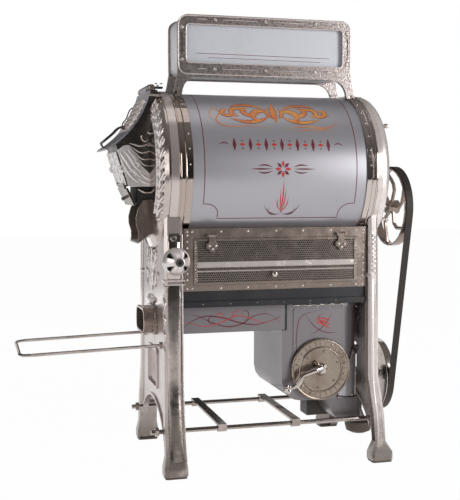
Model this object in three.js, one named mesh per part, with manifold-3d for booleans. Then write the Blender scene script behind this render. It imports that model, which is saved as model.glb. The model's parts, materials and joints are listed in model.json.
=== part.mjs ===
// Belt-driven drum coffee roaster on cast legs, with a gas-fired drum, hopper, suction box and sign frame.
// Lengths are millimetres. X runs along the drum towards the belt, +Y is the back, +Z is up.
import * as THREE from 'three';
import { mergeVertices } from 'three/addons/utils/BufferGeometryUtils.js';
import Module from 'manifold-3d';

const wasm = await Module();
wasm.setup();

// Clearances that serve the whole machine
const gap = 0.3;
const overrun = 4;
const quarter = Math.PI / 2;

// Driving sizes of the machine
const drumAxisHeight = 996;
const shellForm = { radius: 263, wall: 4, halfLength: 299, skirtShare: 0.7186 };
const skirtDrop = shellForm.radius * shellForm.skirtShare;
const shell = {
  ...shellForm, skirtDrop, skirtHeight: drumAxisHeight - skirtDrop,
  footY: Math.sqrt(shellForm.radius ** 2 - skirtDrop ** 2),
};
const fireBoxForm = { pastFoot: 25.6, drop: 206.4, pastSheet: 22 };
const fireBox = {
  faceY: shell.footY + fireBoxForm.pastFoot, sill: shell.skirtHeight - fireBoxForm.drop,
  halfLength: shell.halfLength + fireBoxForm.pastSheet,
};
const standForm = { pastPanel: 16.5, splay: 59, topDrop: 146, archPastLeg: 10, archShare: 0.216 };
const legFace = fireBox.faceY + standForm.pastPanel;
const stand = {
  legFace, footFace: legFace + standForm.splay, legTop: drumAxisHeight - standForm.topDrop,
  archHalfWidth: legFace + standForm.archPastLeg, archHeight: drumAxisHeight * standForm.archShare,
};
const fanForm = { intoArch: 107, shaftShare: 0.2269 };
const fan = {
  shaftY: stand.archHalfWidth - fanForm.intoArch, shaftHeight: drumAxisHeight * fanForm.shaftShare,
};
const drive = { toothModule: 16 / 3, gearTeeth: 36, pinionTeeth: 12, faceWidth: 18 };

// What carries each end of the drum, counted outwards from the end of its sheet
function endPlaces(form) {
  const bandEnd = shell.halfLength + form.bandWidth;
  const legInner = shell.halfLength + form.legStart;
  return {
    ...form, bandEnd, ringEnd: bandEnd + form.ringWidth, legInner, legOuter: legInner + form.legWidth,
    footInner: legInner - form.footInset,
  };
}

const ends = {
  left: endPlaces({
    side: -1, bandWidth: 46, ringWidth: 27, legStart: 28, legWidth: 60, footInset: 5, kneeShift: 4,
    kneeWiden: 6,
    domeDepth: 42,
  }),
  right: endPlaces({
    side: 1, bandWidth: 38, ringWidth: 18, legStart: 25, legWidth: 34, footInset: 4, kneeShift: 19,
    kneeWiden: 5,
    domeDepth: 66,
  }),
};

const pulleyOffset = 157;
const pulleyPlane = ends.right.ringEnd + pulleyOffset;
// Heights of the dark pan and the suction duct, stacked below the fire box
const panForm = { height: 54.6, inset: 3.5, flange: 20, wall: 4, flangeReach: 6 };
const pan = { ...panForm, bottom: fireBox.sill - panForm.height, depth: fireBox.faceY - panForm.inset };
const ductForm = { height: 90.7, inset: 36.5, wall: 3, right: 40, gasket: 8 };
const ductBottom = pan.bottom - gap - ductForm.height;
const railForm = {
  radius: 5.5, intoLegs: 72, underDuct: 38, length: 457, droop: 14, corner: 34, nutRadius: 12, nutLength: 9,
};
const rail = {
  ...railForm, halfWidth: stand.legFace - railForm.intoLegs, height: ductBottom - railForm.underDuct,
};
const burnerForm = { intoLeg: 24, underShell: 31, pipe: 14 };
const burner = {
  ...burnerForm, x: ends.left.legInner + burnerForm.intoLeg,
  height: drumAxisHeight - shell.radius - burnerForm.underShell,
};
const signSize = { pastSheet: 11, halfDepth: 80.5, overShell: 55, height: 206 };
const signBottom = drumAxisHeight + shell.radius + signSize.overShell;
const sign = {
  ...signSize, halfLength: shell.halfLength + signSize.pastSheet, bottom: signBottom,
  top: signBottom + signSize.height,
};

// Shapes and solids
const axisBasis = {
  x: new THREE.Matrix4().makeBasis(
    new THREE.Vector3(0, 1, 0), new THREE.Vector3(0, 0, 1), new THREE.Vector3(1, 0, 0)),
  y: new THREE.Matrix4().makeBasis(
    new THREE.Vector3(1, 0, 0), new THREE.Vector3(0, 0, 1), new THREE.Vector3(0, -1, 0)),
  z: new THREE.Matrix4(),
};

function signedVolume(positions, triangles) {
  const [a, b, c] = [new THREE.Vector3(), new THREE.Vector3(), new THREE.Vector3()];
  let volume = 0;
  for (let i = 0; i < triangles.length; i += 3) {
    a.fromArray(positions, triangles[i] * 3);
    b.fromArray(positions, triangles[i + 1] * 3);
    c.fromArray(positions, triangles[i + 2] * 3);
    volume += a.dot(b.cross(c));
  }
  return volume;
}

// A closed geometry as a solid that can be joined and cut
function solid(geometry) {
  const bare = geometry.clone();
  bare.deleteAttribute('normal');
  bare.deleteAttribute('uv');
  const merged = mergeVertices(bare);
  const positions = Float32Array.from(merged.attributes.position.array);
  const all = merged.index.array;
  const kept = [];
  for (let i = 0; i < all.length; i += 3) {
    const [a, b, c] = [all[i], all[i + 1], all[i + 2]];
    if (a !== b && b !== c && c !== a) kept.push(a, b, c);
  }
  if (signedVolume(positions, kept) < 0) {
    for (let i = 0; i < kept.length; i += 3) [kept[i], kept[i + 1]] = [kept[i + 1], kept[i]];
  }
  return new wasm.Manifold(
    new wasm.Mesh({ numProp: 3, vertProperties: positions, triVerts: Uint32Array.from(kept) }));
}

function geometryOf(manifold) {
  const mesh = manifold.getMesh();
  const geometry = new THREE.BufferGeometry();
  geometry.setAttribute('position', new THREE.BufferAttribute(Float32Array.from(mesh.vertProperties), 3));
  geometry.setIndex(Array.from(mesh.triVerts));
  geometry.computeVertexNormals();
  return geometry;
}

const union = (...parts) => parts.flat(Infinity).reduce((whole, part) => whole.add(part));
const cut = (body, ...tools) => tools.flat(Infinity).reduce((rest, tool) => rest.subtract(tool), body);

function box(x0, x1, y0, y1, z0, z1) {
  const geometry = new THREE.BoxGeometry(Math.abs(x1 - x0), Math.abs(y1 - y0), Math.abs(z1 - z0));
  geometry.translate((x0 + x1) / 2, (y0 + y1) / 2, (z0 + z1) / 2);
  return solid(geometry);
}

// A round bar along an axis, from one place on that axis to another, at the other two coordinates
function bar(axis, radius, from, to, u, v, segments = 16, endRadius = radius) {
  const geometry = new THREE.CylinderGeometry(endRadius, radius, Math.abs(to - from), segments);
  const middle = (from + to) / 2;
  if (axis === 'x') geometry.rotateZ(-quarter).translate(middle, u, v);
  if (axis === 'y') geometry.translate(u, middle, v);
  if (axis === 'z') geometry.rotateX(quarter).translate(u, v, middle);
  return solid(geometry);
}

// A facetted hole in which a round shaft turns free
function turningHole(axis, radius, from, to, u, v, segments = 16) {
  return bar(axis, (radius + gap) / Math.cos(Math.PI / segments), from, to, u, v, segments);
}

// An outline pushed along an axis: along x it is drawn in (y, z), along y in (x, z), along z in (x, y)
function slab(axis, outline, from, to, { bevel = 0, steps = 1, curve = 12 } = {}) {
  const [low, high] = [Math.min(from, to), Math.max(from, to)];
  const geometry = new THREE.ExtrudeGeometry(outline, {
    depth: high - low - 2 * bevel, steps, curveSegments: curve,
    bevelEnabled: bevel > 0, bevelThickness: bevel, bevelSize: bevel, bevelOffset: -bevel, bevelSegments: 2,
  });
  geometry.translate(0, 0, bevel);
  geometry.applyMatrix4(axisBasis[axis]);
  if (axis === 'x') geometry.translate(low, 0, 0);
  if (axis === 'y') geometry.translate(0, high, 0);
  if (axis === 'z') geometry.translate(0, 0, low);
  return solid(geometry);
}

// A profile of [radius, place] pairs turned round an axis through (u, v)
function turned(axis, profile, u, v, segments = 40) {
  const geometry = new THREE.LatheGeometry(profile.map(([r, h]) => new THREE.Vector2(r, h)), segments);
  if (axis === 'x') geometry.rotateZ(-quarter).translate(0, u, v);
  if (axis === 'y') geometry.translate(u, 0, v);
  if (axis === 'z') geometry.rotateX(quarter).translate(u, v, 0);
  return solid(geometry);
}

// A rod bent along a curve through the points
function rod(points, radius, { sides = 8, steps = 24, closed = false, tension = 0.5 } = {}) {
  const knots = points.map((p) => new THREE.Vector3(...p));
  const path = new THREE.CatmullRomCurve3(knots, closed, 'catmullrom', tension);
  const section = new THREE.Shape();
  section.absarc(0, 0, radius, 0, 2 * Math.PI);
  return solid(new THREE.ExtrudeGeometry(section, {
    extrudePath: path, steps, curveSegments: sides, bevelEnabled: false,
  }));
}

// A skin through a stack of rectangles with rounded corners, each {x, y, z, width, depth, corner}
function stacked(stations, cornerPoints = 3) {
  const positions = [];
  const triangles = [];
  const rings = stations.map((s) => {
    const start = positions.length / 3;
    for (const [sx, sy, turn] of [[1, 1, 0], [-1, 1, 1], [-1, -1, 2], [1, -1, 3]]) {
      for (let i = 0; i < cornerPoints; i += 1) {
        const angle = (turn + i / (cornerPoints - 1)) * quarter;
        positions.push(
          s.x + sx * (s.width / 2 - s.corner) + s.corner * Math.cos(angle),
          s.y + sy * (s.depth / 2 - s.corner) + s.corner * Math.sin(angle), s.z);
      }
    }
    return start;
  });
  const count = 4 * cornerPoints;
  for (let r = 0; r + 1 < rings.length; r += 1) {
    for (let i = 0; i < count; i += 1) {
      const j = (i + 1) % count;
      const [a, b, c, d] = [rings[r] + i, rings[r] + j, rings[r + 1] + j, rings[r + 1] + i];
      triangles.push(a, b, c, a, c, d);
    }
  }
  for (let i = 1; i + 1 < count; i += 1) {
    triangles.push(rings[0], rings[0] + i + 1, rings[0] + i);
    triangles.push(rings.at(-1), rings.at(-1) + i, rings.at(-1) + i + 1);
  }
  const geometry = new THREE.BufferGeometry();
  geometry.setAttribute('position', new THREE.Float32BufferAttribute(positions, 3));
  geometry.setIndex(triangles);
  return solid(geometry);
}

function polygon(points) {
  return new THREE.Shape(points.map(([a, b]) => new THREE.Vector2(a, b)));
}

// A rectangle with round corners, as a shape or as a hole
function roundedRectangle(a0, a1, b0, b1, r, path = new THREE.Shape()) {
  path.moveTo(a0 + r, b0);
  path.lineTo(a1 - r, b0);
  path.absarc(a1 - r, b0 + r, r, -quarter, 0);
  path.lineTo(a1, b1 - r);
  path.absarc(a1 - r, b1 - r, r, 0, quarter);
  path.lineTo(a0 + r, b1);
  path.absarc(a0 + r, b1 - r, r, quarter, 2 * quarter);
  path.lineTo(a0, b0 + r);
  path.absarc(a0 + r, b0 + r, r, 2 * quarter, 3 * quarter);
  return path;
}

function ringShape(outer, inner, u, v) {
  const shape = new THREE.Shape();
  shape.absarc(u, v, outer, 0, 2 * Math.PI);
  const hole = new THREE.Path();
  hole.absarc(u, v, inner, 0, 2 * Math.PI);
  shape.holes.push(hole);
  return shape;
}

// Finishes and the group that holds every piece
const finishes = {
  nickel: { color: 0xcfc4ba, metalness: 1, roughness: 0.25 },
  silverPaint: { color: 0xa9a9b2, metalness: 0.2, roughness: 0.4 },
  darkSheet: { color: 0x2b2b2d, metalness: 0.6, roughness: 0.5 },
  castIron: { color: 0x3a3a3c, metalness: 0.8, roughness: 0.6 },
  steel: { color: 0x8b8b8e, metalness: 1, roughness: 0.4 },
  brassedNickel: { color: 0x9d8b7c, metalness: 1, roughness: 0.35 },
  signPanel: { color: 0xc9ccd6, metalness: 0, roughness: 0.4 },
  belt: { color: 0x2a2727, metalness: 0, roughness: 0.85 },
  rubber: { color: 0x161616, metalness: 0, roughness: 0.9 },
};

const machine = new THREE.Group();

function piece(name, shape, finish) {
  const mesh = new THREE.Mesh(geometryOf(shape.simplify(gap / 6)),
    new THREE.MeshStandardMaterial(finishes[finish]));
  mesh.name = name;
  machine.add(mesh);
  return mesh;
}

// The same form on the left of the machine as on the right
function mirrored(manifold) {
  return solid(geometryOf(manifold).scale(-1, 1, 1));
}

// Cast end frames: two legs each, a web with an arch and a slot between them, and a ring round the drum
const frameSizes = {
  wall: 10, webInset: 3, ringLift: 9, ringSink: 25, slotHalfWidth: 75, slotShares: [0.196, 0.708],
  webUnderFan: 136, legDepth: 45, footDepth: 60, footWidth: 78, collarOverSill: 39.4, collarReach: 4,
  cornerRadius: 9, channelBottom: 60, borderWidth: 9, borderRise: 5,
};
const [slotBottom, slotTop] = frameSizes.slotShares.map(
  (share) => THREE.MathUtils.lerp(stand.archHeight, ductBottom, share));
const frameForm = {
  ...frameSizes, ringOuter: shell.radius + frameSizes.ringLift, ringInner: shell.radius - frameSizes.ringSink,
  webBottom: fan.shaftHeight - frameSizes.webUnderFan, slotBottom, slotTop,
  collarHeight: fireBox.sill + frameSizes.collarOverSill,
};
// Height, forward reach, depth, knee shift and widening of a leg, each as a share of its size
const legShares = [
  [0, 1, 1, 0, 0], [0.03, 0.97, 0.9, 0, 0], [0.075, 0.83, 0.15, 0.8, 0.9], [0.18, 0.54, 0, 0.85, 1],
  [0.34, 0.17, 0, 0.15, 0.6], [1, 0, 0, 0, 0],
];

function legStations(end, toFront, inset) {
  const width = end.legOuter - end.legInner;
  const footMiddle = end.footInner + frameForm.footWidth / 2;
  return legShares.map(([height, reach, depthShare, knee, widen], index) => {
    const onFoot = index < 2;
    const depth = THREE.MathUtils.lerp(frameForm.legDepth, frameForm.footDepth, depthShare) - 2 * inset;
    const face = THREE.MathUtils.lerp(stand.legFace, stand.footFace, reach) - inset;
    const own = onFoot ? frameForm.footWidth : width + widen * end.kneeWiden;
    const middle = onFoot ? footMiddle : end.legInner + width / 2 + knee * end.kneeShift;
    return {
      x: middle - inset, y: toFront * (face - depth / 2),
      z: THREE.MathUtils.lerp(footHeight, stand.legTop, height), depth, width: own,
      corner: frameForm.cornerRadius - (inset > 0 ? frameForm.cornerRadius / 2 : 0),
    };
  });
}

const ringFacets = 24;
// How far a facetted round bar must be widened to clear what it goes round
const facetReach = 1 / Math.cos(Math.PI / ringFacets);

// How far forward a leg's face stands at a height
function legFaceAt(height) {
  const share = (height - footHeight) / (stand.legTop - footHeight);
  const above = legShares.findIndex(([place]) => place >= share);
  const [low, high] = [legShares[above - 1], legShares[above]];
  const reach = THREE.MathUtils.mapLinear(share, low[0], high[0], low[1], high[1]);
  return THREE.MathUtils.lerp(stand.legFace, stand.footFace, reach);
}

function archOutline(halfWidth, height) {
  const arch = new THREE.Shape();
  arch.absellipse(0, 0, halfWidth, height, 0, Math.PI);
  arch.lineTo(-halfWidth, -overrun);
  arch.lineTo(halfWidth, -overrun);
  return arch;
}

function legFrame(end) {
  const f = frameForm;
  const outer = end.legOuter - f.webInset;
  const web = [outer - f.wall, outer];
  const legCentre = stand.legFace - f.legDepth / 2;
  const plate = slab('x', polygon([
    [-legCentre - f.legDepth / 2, f.webBottom], [legCentre + f.legDepth / 2, f.webBottom],
    [legCentre, stand.legTop / 2], [legCentre, drumAxisHeight], [-legCentre, drumAxisHeight],
    [-legCentre, stand.legTop / 2],
  ]), ...web);
  const legs = [-1, 1].map((toFront) => {
    const whole = stacked(legStations(end, toFront, 0), 2);
    const channel = stacked(legStations(end, toFront, f.wall).filter((station, index) => index > 1), 2);
    const reach = box(end.legInner - stand.footFace, outer, -stand.footFace, stand.footFace,
      f.channelBottom, stand.legTop - f.wall);
    return cut(whole, channel.intersect(reach));
  });
  const ring = slab('x', ringShape(f.ringOuter, f.ringInner, 0, drumAxisHeight), end.bandEnd + gap,
    end.ringEnd, { curve: ringFacets / 2 });
  const ductHole = slab('x', roundedRectangle(-duct.spoutHalfWidth - gap, duct.spoutHalfWidth + gap,
    duct.spoutBottom - gap, duct.spoutTop + gap, duct.spoutCorner + gap), web[0] - overrun, outer + overrun,
  { curve: 2 });
  const railHoles = [-1, 1].map((toFront) => bar('x', rail.radius + gap, end.legInner - overrun,
    outer + overrun,
    toFront * rail.halfWidth, rail.height, 6));
  const tieHoles = [-1, 1].map((toFront) => bar('x', tie.radius + gap, end.legInner - f.footWidth,
    outer + f.footWidth, toFront * tie.y, tie.height, 8));
  const shaftHole = turningHole('x', shaft.fan, end.legInner - f.footWidth, outer + f.footWidth, fan.shaftY,
    fan.shaftHeight);
  const shaftBoss = bar('x', shaft.fan + bearings.bossWall, web[0] - f.wall, outer + f.borderRise, fan.shaftY,
    fan.shaftHeight, 12);
  const mixerHole = bar('y', burner.pipe + gap, -stand.footFace, 0, burner.x, burner.height, 8);
  const drumHole = bar('x', f.ringInner, end.legInner - overrun, outer + overrun, 0, drumAxisHeight,
    ringFacets);
  const arch = slab('x', archOutline(stand.archHalfWidth, stand.archHeight), end.legInner - f.footWidth,
    outer + f.borderRise + overrun, { curve: 8 });
  const border = slab('x', archOutline(stand.archHalfWidth + f.borderWidth, stand.archHeight + f.borderWidth),
    outer - f.wall - f.borderRise, outer + f.borderRise, { curve: 8 });
  const borderSpan = box(end.legInner, outer + f.borderRise + overrun, -legCentre, legCentre,
    stand.archHeight / 2, stand.legTop);
  const slotRim = slab('x', roundedRectangle(-f.slotHalfWidth - f.borderWidth,
    f.slotHalfWidth + f.borderWidth,
    f.slotBottom - f.borderWidth, f.slotTop + f.borderWidth, 2 * f.borderWidth), web[0], outer + f.borderRise,
  { curve: 1 });
  const slot = slab('x', roundedRectangle(-f.slotHalfWidth, f.slotHalfWidth, f.slotBottom, f.slotTop,
    f.borderWidth), web[0] - overrun, outer + f.borderRise + overrun, { curve: 1 });
  const collars = [-1, 1].map((toFront) => {
    const middle = (end.legInner + end.legOuter) / 2;
    const c = f.collarReach;
    const station = (z, reach) => ({
      x: middle, y: toFront * legCentre, z, width: end.legOuter - end.legInner + 2 * reach,
      depth: f.legDepth + 2 * reach, corner: f.cornerRadius,
    });
    return stacked([station(f.collarHeight - 2 * c, 0), station(f.collarHeight, c),
      station(f.collarHeight + 2 * c, 0)],
      2);
  });
  const onLeft = end.side < 0;
  const bandWay = bar('x', (band.outer + band.ridge + gap) * facetReach, 0, end.bandEnd + gap, 0,
    drumAxisHeight,
    ringFacets);
  const bellSeat = bar('x', (dome.rim + gap) * facetReach, end.ringEnd, outer + f.footWidth, 0,
    drumAxisHeight,
    ringFacets);
  const panelSeat = box(0, fireBox.halfLength + gap, -stand.footFace, stand.footFace, pan.bottom - overrun,
    drumAxisHeight);
  const body = cut(union(plate, border.intersect(borderSpan), slotRim, legs, collars,
    onLeft ? [] : [shaftBoss]),
    bandWay, bellSeat, panelSeat);
  return cut(union(body, ring), arch, slot, drumHole, tieHoles,
    onLeft ? [ductHole, railHoles, mixerHole] : [shaftHole]);
}

// Rubber soles under the four feet
const sole = { thickness: 7, inset: 3, corner: 8 };
const footHeight = sole.thickness + gap;

function footSole(end, toFront) {
  const middle = end.footInner + frameForm.footWidth / 2;
  const front = stand.footFace - sole.inset;
  const back = stand.footFace - frameForm.footDepth + sole.inset;
  const half = frameForm.footWidth / 2 - sole.inset;
  const outline = roundedRectangle(middle - half, middle + half, Math.min(toFront * back, toFront * front),
    Math.max(toFront * back, toFront * front), sole.corner);
  return slab('z', outline, 0, sole.thickness, { curve: 1 });
}

// Tie rods through the legs, with nuts, and the flat cross bars that they carry
const tieForm = { radius: 8, intoLeg: 44, underFan: 90, reach: 16, nutRadius: 15, nutLength: 12, stub: 14 };
const tie = {
  ...tieForm, y: stand.archHalfWidth - tieForm.intoLeg, height: fan.shaftHeight - tieForm.underFan,
};
const crossBar = { width: 30, thick: 8, places: [-188, 72], hook: 5 };

function tieRod(y) {
  const parts = [];
  const sides = [[-1, ends.left], [1, ends.right]];
  const tips = sides.map(([side, end]) => side * (end.legOuter + tie.reach + tie.nutLength + tie.stub));
  parts.push(bar('x', tie.radius, tips[0], tips[1], y, tie.height, 8));
  for (const [side, end] of sides) {
    const seat = side * (end.legOuter + tie.reach);
    parts.push(bar('x', tie.nutRadius, seat, seat + side * tie.nutLength, y, tie.height, 6));
  }
  return union(parts);
}

function crossBarAt(x) {
  const hookOuter = tie.radius + gap + crossBar.hook;
  const half = crossBar.width / 2;
  const bottom = tie.height + tie.radius + gap;
  const plate = box(x - half, x + half, -tie.y - hookOuter, tie.y + hookOuter, bottom,
    bottom + crossBar.thick);
  const hooks = [-1, 1].map((side) => cut(
    union(bar('x', hookOuter, x - half, x + half, side * tie.y, tie.height, 8),
      box(x - half, x + half, side * tie.y - hookOuter, side * tie.y + hookOuter, tie.height, bottom + gap)),
    bar('x', tie.radius + gap, x - half - overrun, x + half + overrun, side * tie.y, tie.height, 8)));
  return union(plate, hooks);
}

// Half-open sheet round the drum: it ends where the fire door panel starts
const skirtAngle = Math.asin(shell.skirtDrop / shell.radius);

const arcSegments = 22;
const arcInnerShare = Math.cos((Math.PI + 2 * skirtAngle) / (2 * arcSegments));

function arcBand(outer, inner, from, to) {
  const shape = new THREE.Shape();
  shape.absarc(0, drumAxisHeight, outer, -skirtAngle, Math.PI + skirtAngle, false);
  shape.absarc(0, drumAxisHeight, inner, Math.PI + skirtAngle, -skirtAngle, true);
  return slab('x', shape, from, to, { curve: arcSegments / 2 });
}

const bandSizes = { lift: 5, sink: 7, ridge: 3, stepShare: 0.55 };
const band = { ...bandSizes, outer: shell.radius + bandSizes.lift, inner: shell.radius - bandSizes.sink };

function drumShell() {
  return arcBand(shell.radius, shell.radius - shell.wall, -shell.halfLength, shell.halfLength);
}

function bandForm(end, outer, inner) {
  const from = shell.halfLength + gap;
  const step = from + band.stepShare * (end.bandEnd - from);
  return union(arcBand(outer, inner, from, end.bandEnd),
    arcBand(outer + band.ridge, inner, step, end.bandEnd));
}

const shellBand = (end) => bandForm(end, band.outer, band.inner);
const bandSeat = (end) => bandForm(end, band.outer + 2 * gap, band.inner - band.ridge * overrun);

// Domed end castings; the shafts run in their bosses
const dome = { rim: band.outer, wall: 7, corner: 19 };
const domeFacets = 24;
// Radius and height of the dome's outside, as shares of its rim and depth
const domeShares = [[1, 0.15], [0.97, 0.48], [0.86, 0.75], [0.5, 0.95], [0, 1]];
const bearings = { bossWall: 14 };
const centreDistance = drive.toothModule * (drive.gearTeeth + drive.pinionTeeth) / 2;
const counterHeight = drumAxisHeight - centreDistance;

function domeShell(end) {
  const base = end.ringEnd + gap;
  const outside = domeShares.map(([r, h]) => [r * dome.rim, base + h * end.domeDepth]);
  const inside = domeShares.map(([r, h]) => [
    Math.max(0, r * dome.rim - dome.wall * 2 * r), base + Math.max(0, h * end.domeDepth - dome.wall)]);
  const lip = inside[0][0];
  return turned('x', [[0, inside.at(-1)[1]], ...inside.slice(1, -1).reverse(), [lip, base], [dome.rim, base],
    ...outside], 0, drumAxisHeight, domeFacets);
}

// Left casting: closed at the middle, with ways in and out for the beans and a blind boss for the drum shaft
const beanShares = { inBottom: 0.183, inTop: 0.705, outBottom: -0.731, outTop: -0.414 };
const beanWays = { inHalfWidth: 85, outHalfWidth: 72 };
for (const [edge, share] of Object.entries(beanShares)) beanWays[edge] = drumAxisHeight + dome.rim * share;
const shaft = { drum: 16, counter: 11, fan: 11, socketDepth: 22 };

function endBellLeft() {
  const end = ends.left;
  const base = end.ringEnd + gap;
  const far = base + end.domeDepth + overrun;
  const boss = bar('x', shaft.drum + bearings.bossWall, end.bandEnd, base + end.domeDepth - dome.wall / 2, 0,
    drumAxisHeight, 12);
  const socket = turningHole('x', shaft.drum, end.bandEnd - overrun, end.bandEnd + shaft.socketDepth, 0,
    drumAxisHeight);
  const inlet = slab('x', roundedRectangle(-beanWays.inHalfWidth, beanWays.inHalfWidth, beanWays.inBottom,
    beanWays.inTop, dome.corner), base - overrun, far, { curve: 1 });
  const outlet = slab('x', roundedRectangle(-beanWays.outHalfWidth, beanWays.outHalfWidth, beanWays.outBottom,
    beanWays.outTop, dome.corner), base - overrun, far, { curve: 1 });
  return mirrored(cut(union(domeShell(end), boss), socket, inlet, outlet));
}

// Right casting: a cover over the gears, with the outer bearings of both shafts
const counterBoss = { radius: 40, reach: 46, neck: 26, flange: 8 };

function endBellRight() {
  const end = ends.right;
  const base = end.ringEnd + gap;
  const face = base + end.domeDepth;
  const drumBoss = bar('x', shaft.drum + bearings.bossWall, face - end.domeDepth / 2, face - dome.wall / 2, 0,
    drumAxisHeight, 12);
  const drumSocket = turningHole('x', shaft.drum, face - end.domeDepth / 2 - overrun, face - dome.wall, 0,
    drumAxisHeight);
  const housing = turned('x', [[0, face - end.domeDepth / 2], [counterBoss.neck, face - end.domeDepth / 2],
    [counterBoss.radius + counterBoss.flange, face - dome.wall], [counterBoss.radius, face],
    [counterBoss.radius, face + counterBoss.reach / 2], [counterBoss.neck, face + counterBoss.reach],
    [0, face + counterBoss.reach]], 0, counterHeight, 16);
  const counterBore = turningHole('x', shaft.counter, base, face + counterBoss.reach + overrun, 0,
    counterHeight);
  return cut(union(domeShell(end), drumBoss, housing), drumSocket, counterBore);
}

// Wall between the drum and the gears, with the inner bearings
const headPlate = { thickness: 6, bossReach: 14, gearClear: 6 };

function headPlateRight() {
  const from = shell.halfLength + gap;
  const to = from + headPlate.thickness;
  const radius = band.inner * arcInnerShare - gap;
  const plate = bar('x', radius, from, to, 0, drumAxisHeight, ringFacets);
  const drumBoss = bar('x', shaft.drum + bearings.bossWall, from, to + headPlate.bossReach, 0,
    drumAxisHeight, 16);
  const counterBossRound = bar('x', shaft.counter + bearings.bossWall, from, to + headPlate.bossReach, 0,
    counterHeight, 16);
  const drumBore = turningHole('x', shaft.drum, from - overrun, to + headPlate.bossReach + overrun, 0,
    drumAxisHeight);
  const counterBore = turningHole('x', shaft.counter, from - overrun, to + headPlate.bossReach + overrun, 0,
    counterHeight);
  return cut(union(plate, drumBoss, counterBossRound), drumBore, counterBore);
}

// Perforated roasting drum on two spiders, with lifting flights inside
const drumRoom = { end: 11, round: 41 };
const drum = {
  radius: shell.radius - drumRoom.round, wall: 4, from: drumRoom.end - shell.halfLength,
  to: shell.halfLength - drumRoom.end, facets: 24, spiderThick: 10, spiderWidth: 28, hubRadius: 34, rows: 3,
  slotsRound: 6, slotLength: 130, slotWidth: 26, flights: 4, flightHeight: 34, flightThick: 4,
};

function roastingCylinder() {
  const d = drum;
  const inner = d.radius - d.wall;
  const tube = turned('x', [[inner, d.from], [d.radius, d.from], [d.radius, d.to], [inner, d.to],
    [inner, d.from]],
    0, drumAxisHeight, d.facets);
  const pitch = (d.to - d.from - 2 * d.spiderWidth) / d.rows;
  const slots = [];
  for (let row = 0; row < d.rows; row += 1) {
    const x = d.from + d.spiderWidth + pitch * (row + 1 / 2);
    for (let i = 0; i < d.slotsRound; i += 1) {
      const angle = 2 * Math.PI * (i + 1 / 2 + (row % 2) / 2) / d.slotsRound;
      const tool = new THREE.BoxGeometry(d.slotLength, d.slotWidth, 4 * d.wall);
      tool.translate(0, 0, inner).rotateX(angle).translate(x, 0, drumAxisHeight);
      slots.push(solid(tool));
    }
  }
  const flights = [];
  for (let i = 0; i < d.flights; i += 1) {
    const plate = new THREE.BoxGeometry(d.to - d.from - 2 * d.spiderWidth, d.flightThick, d.flightHeight);
    plate.translate(0, 0, inner - d.flightHeight / 2 + d.wall / 2);
    plate.rotateX(2 * Math.PI * i / d.flights).translate((d.from + d.to) / 2, 0, drumAxisHeight);
    flights.push(solid(plate));
  }
  const spiders = [d.from, d.to - d.spiderThick].map((x) => {
    const arms = [0, 1].map((i) => {
      const arm = new THREE.BoxGeometry(d.spiderThick, d.spiderWidth, 2 * inner + d.wall);
      arm.rotateX(quarter * (i + 1 / 2)).translate(x + d.spiderThick / 2, 0, drumAxisHeight);
      return solid(arm);
    });
    return union(arms, bar('x', d.hubRadius, x, x + d.spiderThick, 0, drumAxisHeight, 16));
  });
  const bore = bar('x', shaft.drum + gap, d.from - overrun, d.to + overrun, 0, drumAxisHeight, 12);
  return cut(union(cut(tube, slots), flights, spiders), bore);
}

// Spur gears: involute flanks, cut a little thin so that the teeth run free
const teeth = { pressureAngle: Math.PI / 9, addendumShare: 0.8, dedendumShare: 1.05, backlash: 0.5,
  flankPoints: 2 };

function gearOutline(count, turn, y, z) {
  const pitch = drive.toothModule * count / 2;
  const base = pitch * Math.cos(teeth.pressureAngle);
  const tip = pitch + teeth.addendumShare * drive.toothModule;
  const root = pitch - teeth.dedendumShare * drive.toothModule;
  const involute = (r) => {
    const a = Math.sqrt(Math.max(0, (r / base) ** 2 - 1));
    return a - Math.atan(a);
  };
  const half = Math.PI / (2 * count) - teeth.backlash / (2 * pitch) + involute(pitch);
  const points = [];
  const put = (r, angle) => points.push(new THREE.Vector2(y + r * Math.cos(angle), z + r * Math.sin(angle)));
  for (let tooth = 0; tooth < count; tooth += 1) {
    const centre = turn + 2 * Math.PI * tooth / count;
    const start = Math.max(base, root);
    put(root, centre - half - drive.toothModule / (8 * pitch));
    for (let i = 0; i < teeth.flankPoints; i += 1) {
      const r = start + (tip - start) * i / (teeth.flankPoints - 1);
      put(r, centre - half + involute(r));
    }
    for (let i = teeth.flankPoints - 1; i >= 0; i -= 1) {
      const r = start + (tip - start) * i / (teeth.flankPoints - 1);
      put(r, centre + half - involute(r));
    }
    put(root, centre + half + drive.toothModule / (8 * pitch));
  }
  return new THREE.Shape(points);
}

const gearPlace = shell.halfLength + headPlate.thickness + headPlate.bossReach + headPlate.gearClear;
const gearLighten = { holes: 5, holeShare: 0.2, circleShare: 0.62, hubLength: 12 };

function drumGear() {
  const halfPitch = Math.PI / drive.gearTeeth;
  const pitch = drive.toothModule * drive.gearTeeth / 2;
  const wheel = slab('x', gearOutline(drive.gearTeeth, quarter + halfPitch, 0, drumAxisHeight), gearPlace,
    gearPlace + drive.faceWidth);
  const hub = bar('x', shaft.drum + bearings.bossWall, gearPlace,
    gearPlace + drive.faceWidth + gearLighten.hubLength,
    0, drumAxisHeight, 20);
  const holes = [];
  for (let i = 0; i < gearLighten.holes; i += 1) {
    const angle = 2 * Math.PI * i / gearLighten.holes;
    const circle = gearLighten.circleShare * pitch;
    holes.push(bar('x', gearLighten.holeShare * pitch, gearPlace - overrun,
      gearPlace + drive.faceWidth + overrun,
      circle * Math.cos(angle), drumAxisHeight + circle * Math.sin(angle), 10));
  }
  const bore = bar('x', shaft.drum + gap, gearPlace - overrun,
    gearPlace + drive.faceWidth + gearLighten.hubLength + overrun, 0, drumAxisHeight, 16);
  return cut(union(wheel, hub), holes, bore);
}

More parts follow.
